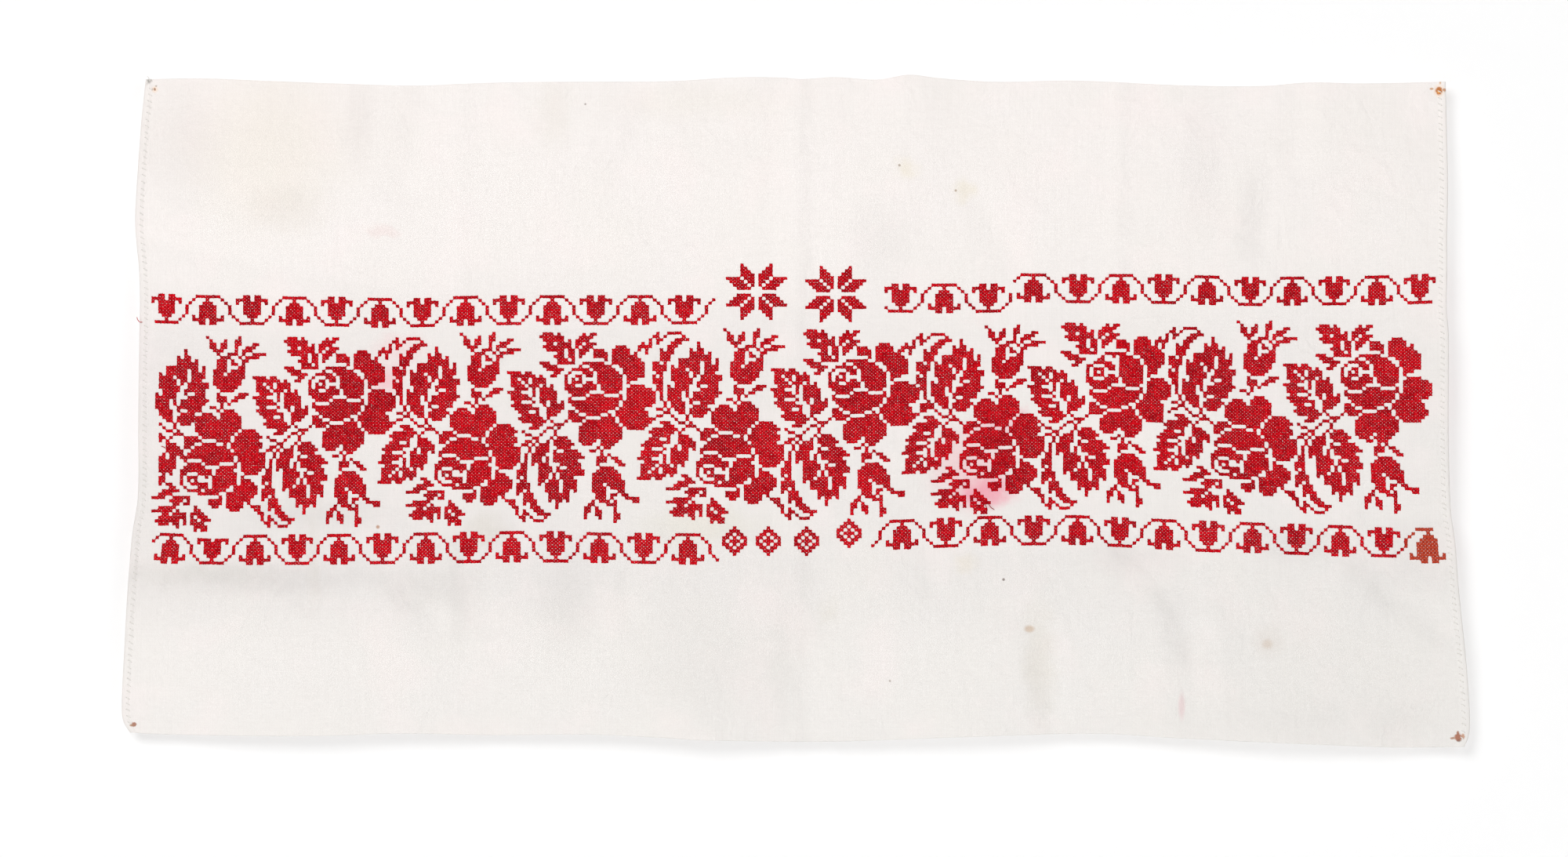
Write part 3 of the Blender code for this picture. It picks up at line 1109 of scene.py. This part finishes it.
def newGroup(name, inputs, outputs):
    tree = bpy.data.node_groups.new(name, "ShaderNodeTree")
    for label, kind, value in inputs:
        socket = tree.interface.new_socket(label, in_out="INPUT", socket_type="NodeSocket" + kind)
        if value is not None:
            socket.default_value = value
    for label, kind in outputs:
        tree.interface.new_socket(label, in_out="OUTPUT", socket_type="NodeSocket" + kind)
    return tree, tree.nodes.new("NodeGroupInput").outputs, tree.nodes.new("NodeGroupOutput").inputs


def useGroup(tree, group, inputs):
    return addNode(tree, "ShaderNodeGroup", inputs, node_tree=group).outputs


def makeWeaveGroup():
    tree, given, out = newGroup(
        "plainWeave",
        [("Vector", "Vector", None), ("Thread", "Float", 0.00062), ("Unevenness", "Float", 0.5)],
        [("Height", "Float"), ("Tone", "Float")],
    )
    wobble = calc(tree, "MULTIPLY_ADD", addNoise(tree, given["Vector"], 260.0, 2.0), 0.0004, -0.0002)
    place = addNode(tree, "ShaderNodeSeparateXYZ", {0: given["Vector"]}).outputs
    turn = calc(tree, "DIVIDE", math.pi, given["Thread"])
    warp = calc(tree, "SINE", calc(tree, "MULTIPLY", calc(tree, "ADD", place["X"], wobble), turn))
    weft = calc(tree, "SINE", calc(tree, "MULTIPLY", calc(tree, "ADD", place["Z"], wobble), turn))
    crossing = calc(tree, "MULTIPLY", warp, weft)
    streaks = []
    for acrossScale, downScale in ((1100.0, 34.0), (26.0, 1300.0)):
        across = calc(tree, "MULTIPLY", place["X"], acrossScale)
        down = calc(tree, "MULTIPLY", place["Z"], downScale)
        stretched = addNode(tree, "ShaderNodeCombineXYZ", {"X": across, "Z": down}).outputs[0]
        streaks.append(addNoise(tree, stretched, 1.0, 3.0))
    tone = calc(tree, "MULTIPLY_ADD", streaks[0], 0.6, calc(tree, "MULTIPLY", streaks[1], 0.4))
    uneven = calc(tree, "MULTIPLY", tone, given["Unevenness"])
    tree.links.new(calc(tree, "ADD", calc(tree, "MULTIPLY_ADD", crossing, 0.5, 0.5), uneven), out["Height"])
    tree.links.new(tone, out["Tone"])
    return tree


def makeCrumpleGroup():
    # the shallow, uneven wrinkles that handling leaves in cloth
    tree, given, out = newGroup(
        "crumple", [("Vector", "Vector", None), ("Size", "Float", 0.05)], [("Height", "Float")])
    scale = calc(tree, "DIVIDE", 1.0, given["Size"])
    bend = addNoise(tree, given["Vector"], scale, 2.0, "Color")
    bent = vectorCalc(tree, "MULTIPLY_ADD", bend, (0.05, 0.05, 0.05), given["Vector"])
    broad = addNoise(tree, bent, scale, 4.0)
    creased = addNoise(tree, bent, calc(tree, "MULTIPLY", scale, 2.7), 3.0)
    ridge = calc(tree, "ABSOLUTE", calc(tree, "SUBTRACT", creased, 0.5))
    tree.links.new(calc(tree, "MULTIPLY_ADD", ridge, -0.8, broad), out["Height"])
    return tree


def makeSpotGroup():
    tree, given, out = newGroup(
        "softSpot",
        [("Vector", "Vector", None), ("Centre", "Vector", (0, 0, 0)), ("Reach", "Vector", (1, 1, 1)),
         ("Softness", "Float", 0.5)],
        [("Mask", "Float")],
    )
    away = vectorCalc(tree, "SUBTRACT", given["Vector"], given["Centre"])
    share = vectorCalc(tree, "DIVIDE", away, given["Reach"])
    length = addNode(tree, "ShaderNodeVectorMath", {0: share}, operation="LENGTH").outputs["Value"]
    inner = calc(tree, "SUBTRACT", 1.0, given["Softness"])
    outer = calc(tree, "ADD", 1.0, given["Softness"])
    tree.links.new(mapRange(tree, length, inner, outer, 1.0, 0.0, "SMOOTHSTEP"), out["Mask"])
    return tree


def makeTwistGroup():
    tree, given, out = newGroup(
        "strandTwist",
        [("Strand", "Vector", None), ("Turns", "Float", 3.7), ("Slant", "Float", 0.9)],
        [("Height", "Float"), ("End", "Float")],
    )
    place = addNode(tree, "ShaderNodeSeparateXYZ", {0: given["Strand"]}).outputs
    phase = calc(tree, "ADD", calc(tree, "MULTIPLY", place["X"], given["Turns"]),
                 calc(tree, "MULTIPLY", place["Y"], given["Slant"]))
    wave = calc(tree, "SINE", calc(tree, "MULTIPLY", phase, 2 * math.pi))
    tree.links.new(calc(tree, "ABSOLUTE", wave), out["Height"])
    fromMiddle = calc(tree, "ABSOLUTE", calc(tree, "SUBTRACT", calc(tree, "FRACT", place["X"]), 0.5))
    tree.links.new(calc(tree, "MULTIPLY", fromMiddle, 2.0), out["End"])
    return tree


# Stains, and grey marks along creases that are partly painted shade: x, z, reach across, reach down,
# softness, colour, strength
stainsAndCreaseShade = [
    (-364, -48, 42, 46, 0.8, (0.74, 0.69, 0.55), 0.24),
    (-352, -88, 22, 14, 0.7, (0.66, 0.60, 0.54), 0.24),
    (-372, -30, 78, 34, 0.9, (0.80, 0.70, 0.66), 0.16),
    (-424, -42, 22, 40, 0.9, (0.62, 0.58, 0.56), 0.20),
    (-300, -30, 9, 26, 0.9, (0.62, 0.57, 0.54), 0.18),
    (60, -110, 18, 20, 0.9, (0.60, 0.57, 0.55), 0.16),
    (280, -60, 12, 40, 0.9, (0.62, 0.58, 0.56), 0.14),
    (315, -100, 8, 26, 0.9, (0.60, 0.57, 0.56), 0.18),
    (-360, -344, 60, 8, 0.9, (0.52, 0.50, 0.49), 0.26),   # grey marks under the band: partly dirt, partly painted shade of its puckers and creases
    (-330, -300, 44, 9, 0.9, (0.54, 0.52, 0.50), 0.22),
    (-255, -350, 22, 12, 0.9, (0.54, 0.52, 0.50), 0.24),
    (-232, -352, 6, 34, 0.8, (0.54, 0.52, 0.50), 0.20),
    (-158, -360, 16, 26, 0.9, (0.56, 0.53, 0.51), 0.22),
    (-60, -400, 44, 36, 0.9, (0.62, 0.60, 0.57), 0.20),
    (-8, -400, 8, 50, 0.9, (0.56, 0.54, 0.52), 0.20),
    (232, -330, 30, 10, 0.9, (0.56, 0.53, 0.52), 0.22),
    (262, -372, 10, 30, 0.9, (0.58, 0.55, 0.54), 0.15),
    (345, -322, 26, 10, 0.9, (0.56, 0.53, 0.52), 0.22),
    (420, -335, 30, 20, 0.9, (0.58, 0.55, 0.54), 0.22),
    (-72, -16, 48, 10, 0.8, (0.72, 0.67, 0.58), 0.16),
    (-167, -24, 10, 21, 0.8, (0.66, 0.63, 0.56), 0.22),
    (76, -62, 7, 6, 0.8, (0.76, 0.68, 0.48), 0.3),
    (116, -76, 7, 6, 0.8, (0.76, 0.68, 0.48), 0.3),
    (22, -367, 7, 8, 0.8, (0.62, 0.58, 0.48), 0.2),
    (116, -332, 7, 6, 0.8, (0.72, 0.64, 0.48), 0.25),
    (-64, -308, 32, 11, 0.8, (0.66, 0.64, 0.50), 0.3),
    (168, -400, 9, 32, 0.8, (0.60, 0.55, 0.46), 0.26),
    (-283, -105, 11, 4, 0.5, (0.78, 0.62, 0.60), 0.35),
    (161.2, -378.8, 3.3, 2.3, 0.5, (0.56, 0.41, 0.29), 0.65),
    (324.8, -389.1, 3.4, 3.0, 0.6, (0.56, 0.43, 0.32), 0.55),
    (324.8, -389.1, 9, 8, 0.8, (0.62, 0.54, 0.48), 0.25),
    (266, -432, 2.2, 8, 0.6, (0.72, 0.47, 0.49), 0.5),
    (143.4, -344.8, 0.9, 0.9, 0.4, (0.16, 0.12, 0.10), 0.8),
    (-287.6, -308.6, 1.2, 1.2, 0.5, (0.45, 0.22, 0.12), 0.8),
    (71.6, -59.7, 0.9, 0.8, 0.5, (0.30, 0.22, 0.16), 0.7),
    (110.4, -77.0, 0.9, 0.8, 0.5, (0.34, 0.24, 0.16), 0.7),
    (-144.5, -17.6, 0.7, 0.7, 0.5, (0.25, 0.20, 0.18), 0.7),
    (65.1, -414.5, 0.8, 0.7, 0.5, (0.30, 0.24, 0.20), 0.6),
    (122, -268, 25, 24, 0.7, (0.80, 0.32, 0.38), 0.38),   # the red dye has run here
    (140, -240, 17, 9, 0.6, (0.80, 0.34, 0.42), 0.46),
    (155.5, -228.5, 5, 4, 0.7, (0.80, 0.40, 0.44), 0.4),
    (131, -285, 17, 9, 0.6, (0.80, 0.18, 0.29), 0.55),
    (-282.5, -207.5, 11, 9, 0.8, (0.84, 0.36, 0.42), 0.5),
    (-273, -186.5, 15, 9, 0.8, (0.84, 0.42, 0.46), 0.22),
    (129.9, -164.4, 7, 6, 0.8, (0.84, 0.56, 0.54), 0.08),
    # more grey marks along the puckers under the band: partly dirt, partly painted shade
    (-407, -340, 46, 6, 0.9, (0.58, 0.56, 0.52), 0.3),
    (-213, -310, 12, 11, 0.8, (0.58, 0.54, 0.46), 0.3),
    (-332, -329, 4.5, 28, 0.8, (0.62, 0.58, 0.52), 0.25),
    (380, -420, 110, 60, 0.9, (0.70, 0.68, 0.65), 0.32),
    (350, -442, 100, 12, 0.9, (0.62, 0.60, 0.58), 0.14),
]

# Rust left by the pins, in the same columns
rustMarks = [
    (-441.7, -7.0, 2.0, 2.0, 0.5, (0.86, 0.62, 0.44), 0.5),
    (-441.7, -7.0, 0.8, 0.9, 0.4, (0.30, 0.13, 0.06), 0.9),
    (-440.8, -4.6, 0.8, 0.5, 0.5, (0.34, 0.26, 0.20), 0.6),
    (-443.2, -6.9, 0.5, 0.8, 0.5, (0.34, 0.28, 0.24), 0.5),
    (443.8, -8.0, 3.2, 3.8, 0.5, (0.86, 0.58, 0.36), 0.5),
    (443.8, -8.0, 2.2, 2.8, 0.25, (0.46, 0.15, 0.03), 0.95),
    (443.5, -8.6, 0.9, 0.9, 0.5, (0.80, 0.38, 0.12), 0.9),
    (438.6, -6.6, 1.3, 0.8, 0.4, (0.52, 0.24, 0.07), 0.8),
    (447.6, -7.4, 1.3, 1.2, 0.4, (0.44, 0.18, 0.06), 0.8),
    (444.6, -2.2, 0.7, 1.2, 0.5, (0.62, 0.34, 0.14), 0.7),
    (-456.1, -444.8, 1.7, 1.7, 0.3, (0.36, 0.15, 0.09), 0.9),
    (-457.9, -445.4, 1.1, 0.8, 0.4, (0.40, 0.22, 0.13), 0.8),
    (457.1, -453.8, 2.6, 2.5, 0.3, (0.38, 0.15, 0.09), 0.95),
    (456.8, -450.8, 1.0, 1.3, 0.4, (0.34, 0.14, 0.08), 0.9),
    (460.4, -453.0, 1.1, 1.8, 0.4, (0.50, 0.25, 0.15), 0.85),
    (453.3, -454.4, 1.7, 0.8, 0.4, (0.40, 0.20, 0.12), 0.85),
    (457.6, -456.0, 1.6, 0.7, 0.4, (0.22, 0.12, 0.09), 0.7),
]


def newMaterial(name, roughness, sheen, specular=0.12):
    material = bpy.data.materials.new(name)
    material.use_nodes = True
    tree = material.node_tree
    shader = tree.nodes["Principled BSDF"]
    shader.inputs["Roughness"].default_value = roughness
    shader.inputs["Specular IOR Level"].default_value = specular
    shader.inputs["Sheen Weight"].default_value = sheen
    shader.inputs["Sheen Roughness"].default_value = 0.5
    return material, tree, shader


# A thread's width and the depths are metres, like the material's own places
linen = dict(
    light=(0.87, 0.845, 0.825, 1), dark=(0.79, 0.765, 0.74, 1), thread=0.00062, unevenness=0.6,
    warmTop=(1.0, 0.978, 0.977, 1), greyFoot=(0.932, 0.934, 0.93, 1), tintFrom=-0.08, tintTo=-0.46,
    # the grey strip over the band is partly painted shade of its puckers
    bandGreyShade=(0.905, 0.905, 0.91, 1), bandGreyShadeTop=(-0.11, -0.20), bandGreyShadeFoot=(-0.40, -0.33),
    bandGreyShadeAcross=(0.15, -0.4), bandGreyShadeLeast=0.45,
    # the colour and share of the painted shade along the hemmed sides
    edgeShade=(0.58, 0.55, 0.53, 1), edgeShadeShare=0.4, clouds=(0.80, 0.77, 0.72, 1), blush=(0.92, 0.80, 0.79, 1),
    bumpDepth=0.00012, bumpShare=0.7, crumpleSize=0.055, crumpleDepth=0.0025,
)


def addMarks(tree, spot, colour, table, steady, moved):
    # each mark of a table over the colour; small stains keep their places, the others wander
    for x, z, acrossReach, downReach, softness, shade, strength in table:
        small = table is stainsAndCreaseShade and min(acrossReach, downReach) <= 3
        mask = useGroup(tree, spot, {
            "Vector": steady if small else moved, "Centre": (x * mm, 0, z * mm),
            "Reach": (acrossReach * mm, 1.0, downReach * mm), "Softness": softness,
        })["Mask"]
        colour = mixColour(tree, calc(tree, "MULTIPLY", mask, strength), colour, shade + (1,))
    return colour


def makeLinen(weave, crumple, spot):
    material, tree, shader = newMaterial("linen", 0.92, 0.1)
    place = addNode(tree, "ShaderNodeTexCoord").outputs["Object"]
    along = addNode(tree, "ShaderNodeSeparateXYZ", {0: place}).outputs
    woven = useGroup(tree, weave, {
        "Vector": place, "Thread": linen["thread"], "Unevenness": linen["unevenness"]})
    tone = calc(tree, "MULTIPLY_ADD", woven["Tone"], 1.5, -0.25)
    colour = mixColour(tree, tone, linen["light"], linen["dark"])

    # warmer at the top, greyer at the foot and to the right
    lean = calc(tree, "MULTIPLY_ADD", along["X"], -0.2, along["Z"])
    down = mapRange(tree, lean, linen["tintFrom"], linen["tintTo"])
    tint = mixColour(tree, down, linen["warmTop"], linen["greyFoot"])
    colour = mixColour(tree, 1.0, colour, tint, "MULTIPLY")

    # the strip of the band is greyer, partly as painted shade of its puckers, most of all on the left
    below = mapRange(tree, along["Z"], *linen["bandGreyShadeTop"], kind="SMOOTHSTEP")
    above = mapRange(tree, along["Z"], *linen["bandGreyShadeFoot"], kind="SMOOTHSTEP")
    leftward = mapRange(tree, along["X"], *linen["bandGreyShadeAcross"], linen["bandGreyShadeLeast"])
    bandGreyShade = calc(tree, "MULTIPLY", calc(tree, "MULTIPLY", below, above), leftward)
    greyed = mixColour(tree, 1.0, colour, linen["bandGreyShade"], "MULTIPLY")
    colour = mixColour(tree, bandGreyShade, colour, greyed)

    # painted shade along the hemmed sides, faint clouds and a faint pink blush
    edgeShade = addNode(tree, "ShaderNodeAttribute", attribute_name="shade").outputs["Fac"]
    colour = mixColour(tree, calc(tree, "MULTIPLY", edgeShade, linen["edgeShadeShare"]), colour, linen["edgeShade"])
    clouds = calc(tree, "MULTIPLY_ADD", addNoise(tree, place, 14.0, 4.0, roughness=0.55), 0.7, -0.22)
    colour = mixColour(tree, clouds, colour, linen["clouds"])
    blush = calc(tree, "SUBTRACT", addNoise(tree, place, 23.0, 5.0), 0.5)
    colour = mixColour(tree, calc(tree, "MAXIMUM", blush, 0.0), colour, linen["blush"])

    # the marks wander by a noise of their own size
    for table, scale, detail, shift in ((stainsAndCreaseShade, 90.0, 3.0, 0.016), (rustMarks, 900.0, 2.0, 0.0016)):
        noise = vectorCalc(tree, "SUBTRACT", addNoise(tree, place, scale, detail, "Color"), (0.5, 0.5, 0.5))
        moved = vectorCalc(tree, "MULTIPLY_ADD", noise, (shift, 0.0, shift), place)
        colour = addMarks(tree, spot, colour, table, place, moved)
    tree.links.new(colour, shader.inputs["Base Color"])

    wrinkles = useGroup(tree, crumple, {"Vector": place, "Size": linen["crumpleSize"]})["Height"]
    wrinkled = addNode(tree, "ShaderNodeBump", {"Height": wrinkles, "Distance": linen["crumpleDepth"]})
    bump = addNode(tree, "ShaderNodeBump", {
        "Height": woven["Height"], "Strength": linen["bumpShare"], "Distance": linen["bumpDepth"],
        "Normal": wrinkled.outputs[0],
    })
    tree.links.new(bump.outputs[0], shader.inputs["Normal"])
    return material


# the deepest red is painted shade, in the twist's grooves and where the strand goes into the cloth
redThread = dict(
    light=(0.71, 0.002, 0.010, 1), dark=(0.36, 0.001, 0.006, 1), shadeRed=(0.16, 0.001, 0.004, 1),
    rusty=(0.50, 0.07, 0.03, 1), rustyCentre=(0.437, 0, -0.322), rustyReach=(0.017, 1, 0.018),
    rustyShare=0.85, bumpDepth=0.00012,
)
# the groove and hole colours are painted shade, in the twist's grooves and where the strand goes into the
# cloth
whiteThread = dict(
    twistShade=(0.62, 0.59, 0.54, 1), ply=(0.90, 0.885, 0.85, 1), holeShade=(0.34, 0.29, 0.26, 1), turns=5.0,
    bumpDepth=0.0001,
)


def finishThread(tree, shader, colour, twisted, power, share, holeShade, bumpDepth):
    # painted shade where the strand goes into the cloth, and its twist as bump
    end = calc(tree, "MULTIPLY", calc(tree, "POWER", twisted["End"], power), share)
    tree.links.new(mixColour(tree, end, colour, holeShade), shader.inputs["Base Color"])
    inputs = {"Height": twisted["Height"], "Strength": 0.6, "Distance": bumpDepth}
    bump = addNode(tree, "ShaderNodeBump", inputs)
    tree.links.new(bump.outputs[0], shader.inputs["Normal"])


def makeRedThread(twist, spot):
    material, tree, shader = newMaterial("redThread", 0.7, 0.0, 0.06)
    strand = addNode(tree, "ShaderNodeUVMap", uv_map="strand").outputs[0]
    shade = addNode(tree, "ShaderNodeAttribute", attribute_name="shade").outputs["Fac"]
    place = addNode(tree, "ShaderNodeTexCoord").outputs["Object"]
    patches = calc(tree, "MULTIPLY_ADD", addNoise(tree, place, 16.0, 5.0), 1.2, -0.56)
    share = calc(tree, "MINIMUM", calc(tree, "MAXIMUM", calc(tree, "ADD", shade, patches), 0.0), 1.0)
    colour = mixColour(tree, share, redThread["dark"], redThread["light"])
    rusty = useGroup(tree, spot, {
        "Vector": place, "Centre": redThread["rustyCentre"], "Reach": redThread["rustyReach"],
        "Softness": 0.2,
    })["Mask"]
    rusty = calc(tree, "MULTIPLY", rusty, redThread["rustyShare"])
    colour = mixColour(tree, rusty, colour, redThread["rusty"])
    twisted = useGroup(tree, twist, {"Strand": strand})
    # painted shade in the twist's grooves
    twistShade = calc(tree, "MULTIPLY_ADD", twisted["Height"], -0.25, 0.25)
    colour = mixColour(tree, twistShade, colour, redThread["shadeRed"])
    finishThread(tree, shader, colour, twisted, 5.0, 0.75, redThread["shadeRed"], redThread["bumpDepth"])
    return material


def makeWhiteThread(twist):
    material, tree, shader = newMaterial("whiteThread", 0.7, 0.1)
    strand = addNode(tree, "ShaderNodeUVMap", uv_map="strand").outputs[0]
    twisted = useGroup(tree, twist, {"Strand": strand, "Turns": whiteThread["turns"]})
    # painted shade in the twist's grooves
    colour = mixColour(tree, twisted["Height"], whiteThread["twistShade"], whiteThread["ply"])
    finishThread(tree, shader, colour, twisted, 3.0, 0.8, whiteThread["holeShade"], whiteThread["bumpDepth"])
    return material


weave, crumple, spot, twist = makeWeaveGroup(), makeCrumpleGroup(), makeSpotGroup(), makeTwistGroup()
linenMaterial = makeLinen(weave, crumple, spot)
redMaterial = makeRedThread(twist, spot)
whiteMaterial = makeWhiteThread(twist)
print("materials made")

hanging = makeCloth(linenMaterial)
needlework = embroider(redMaterial)
hemStitches = makeHemStitches(whiteMaterial)
redLoose, frayedKnot = makeLooseEnds(redMaterial, whiteMaterial)

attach(hanging, "root")
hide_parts("cloth")
for piece in needlework + [redLoose]:
    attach(piece, "root")
for piece in (hemStitches, frayedKnot):
    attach(piece, "root")
print("pieces fitted to the frame")

# Stage: a pale floor, a pale wall that shows from the front only, and soft studio light
stage = dict(
    wallBehind=12.0, wallReach=2500.0, wallTop=1500.0, wallColour=(0.62, 0.62, 0.62, 1), wallGlow=0.30,
    floorDrop=760.0, floorReach=4000.0, floorColour=(0.90, 0.90, 0.90, 1), floorRoughness=0.8, skyLight=0.28,
)


def addPlane(name, corners, material):
    obj = addMesh(name, np.array(corners, float), np.array([[0, 1, 2, 3]]), material, smooth=False)


def makeWallMaterial():
    material = bpy.data.materials.new("paleWall")
    material.use_nodes = True
    tree = material.node_tree
    tree.nodes.clear()
    out = tree.nodes.new("ShaderNodeOutputMaterial")
    behind = addNode(tree, "ShaderNodeNewGeometry").outputs["Backfacing"]
    shadowRay = addNode(tree, "ShaderNodeLightPath").outputs["Is Shadow Ray"]
    seen = addNode(tree, "ShaderNodeBsdfDiffuse", {"Color": stage["wallColour"]}).outputs[0]
    glow = addNode(tree, "ShaderNodeEmission", {"Strength": stage["wallGlow"]}).outputs[0]
    seen = addNode(tree, "ShaderNodeAddShader", {0: seen, 1: glow}).outputs[0]
    clear = addNode(tree, "ShaderNodeBsdfTransparent").outputs[0]
    away = calc(tree, "MAXIMUM", behind, shadowRay)
    mix = addNode(tree, "ShaderNodeMixShader", {0: away, 1: seen, 2: clear})
    tree.links.new(mix.outputs[0], out.inputs["Surface"])
    return material


def makeStage():
    wide, top, y, z = stage["wallReach"], stage["wallTop"], stage["wallBehind"], -stage["floorDrop"]
    addPlane("wall", [(-wide, y, top), (-wide, y, z), (wide, y, z), (wide, y, top)], makeWallMaterial())
    ground = bpy.data.materials.new("paleFloor")
    ground.use_nodes = True
    shader = ground.node_tree.nodes["Principled BSDF"]
    shader.inputs["Base Color"].default_value = stage["floorColour"]
    shader.inputs["Roughness"].default_value = stage["floorRoughness"]
    far = stage["floorReach"]
    addPlane("floor", [(-far, -far, z), (far, -far, z), (far, far, z), (-far, far, z)], ground)


# Name, place in metres, size, power; all shine at the middle of the cloth
lights = [
    ("key", (-1.65, -3.4, 1.6), 2.3, 100.0),
    ("fill", (1.9, -2.6, 0.3), 2.0, 21.0),
    ("backLight", (1.2, 2.6, 0.9), 1.6, 60.0),
]
lightAim = (0, 0, -0.23)


def makeLights():
    for name, place, size, power in lights:
        data = bpy.data.lights.new(name, "AREA")
        data.shape = "DISK"
        data.size = size
        data.energy = power
        obj = bpy.data.objects.new(name, data)
        bpy.context.scene.collection.objects.link(obj)
        obj.location = place
        x, y, z = (a - p for a, p in zip(lightAim, place))
        obj.rotation_euler = (math.atan2(math.hypot(x, y), -z), 0, math.atan2(x, -y) + math.pi)
    world = bpy.data.worlds.new("studio")
    world.use_nodes = True
    sky = world.node_tree.nodes["Background"].inputs
    sky["Color"].default_value = (1, 1, 1, 1)
    sky["Strength"].default_value = stage["skyLight"]
    bpy.context.scene.world = world


makeStage()
makeLights()
bpy.context.scene.view_settings.view_transform = "Standard"
print("stage and light set")
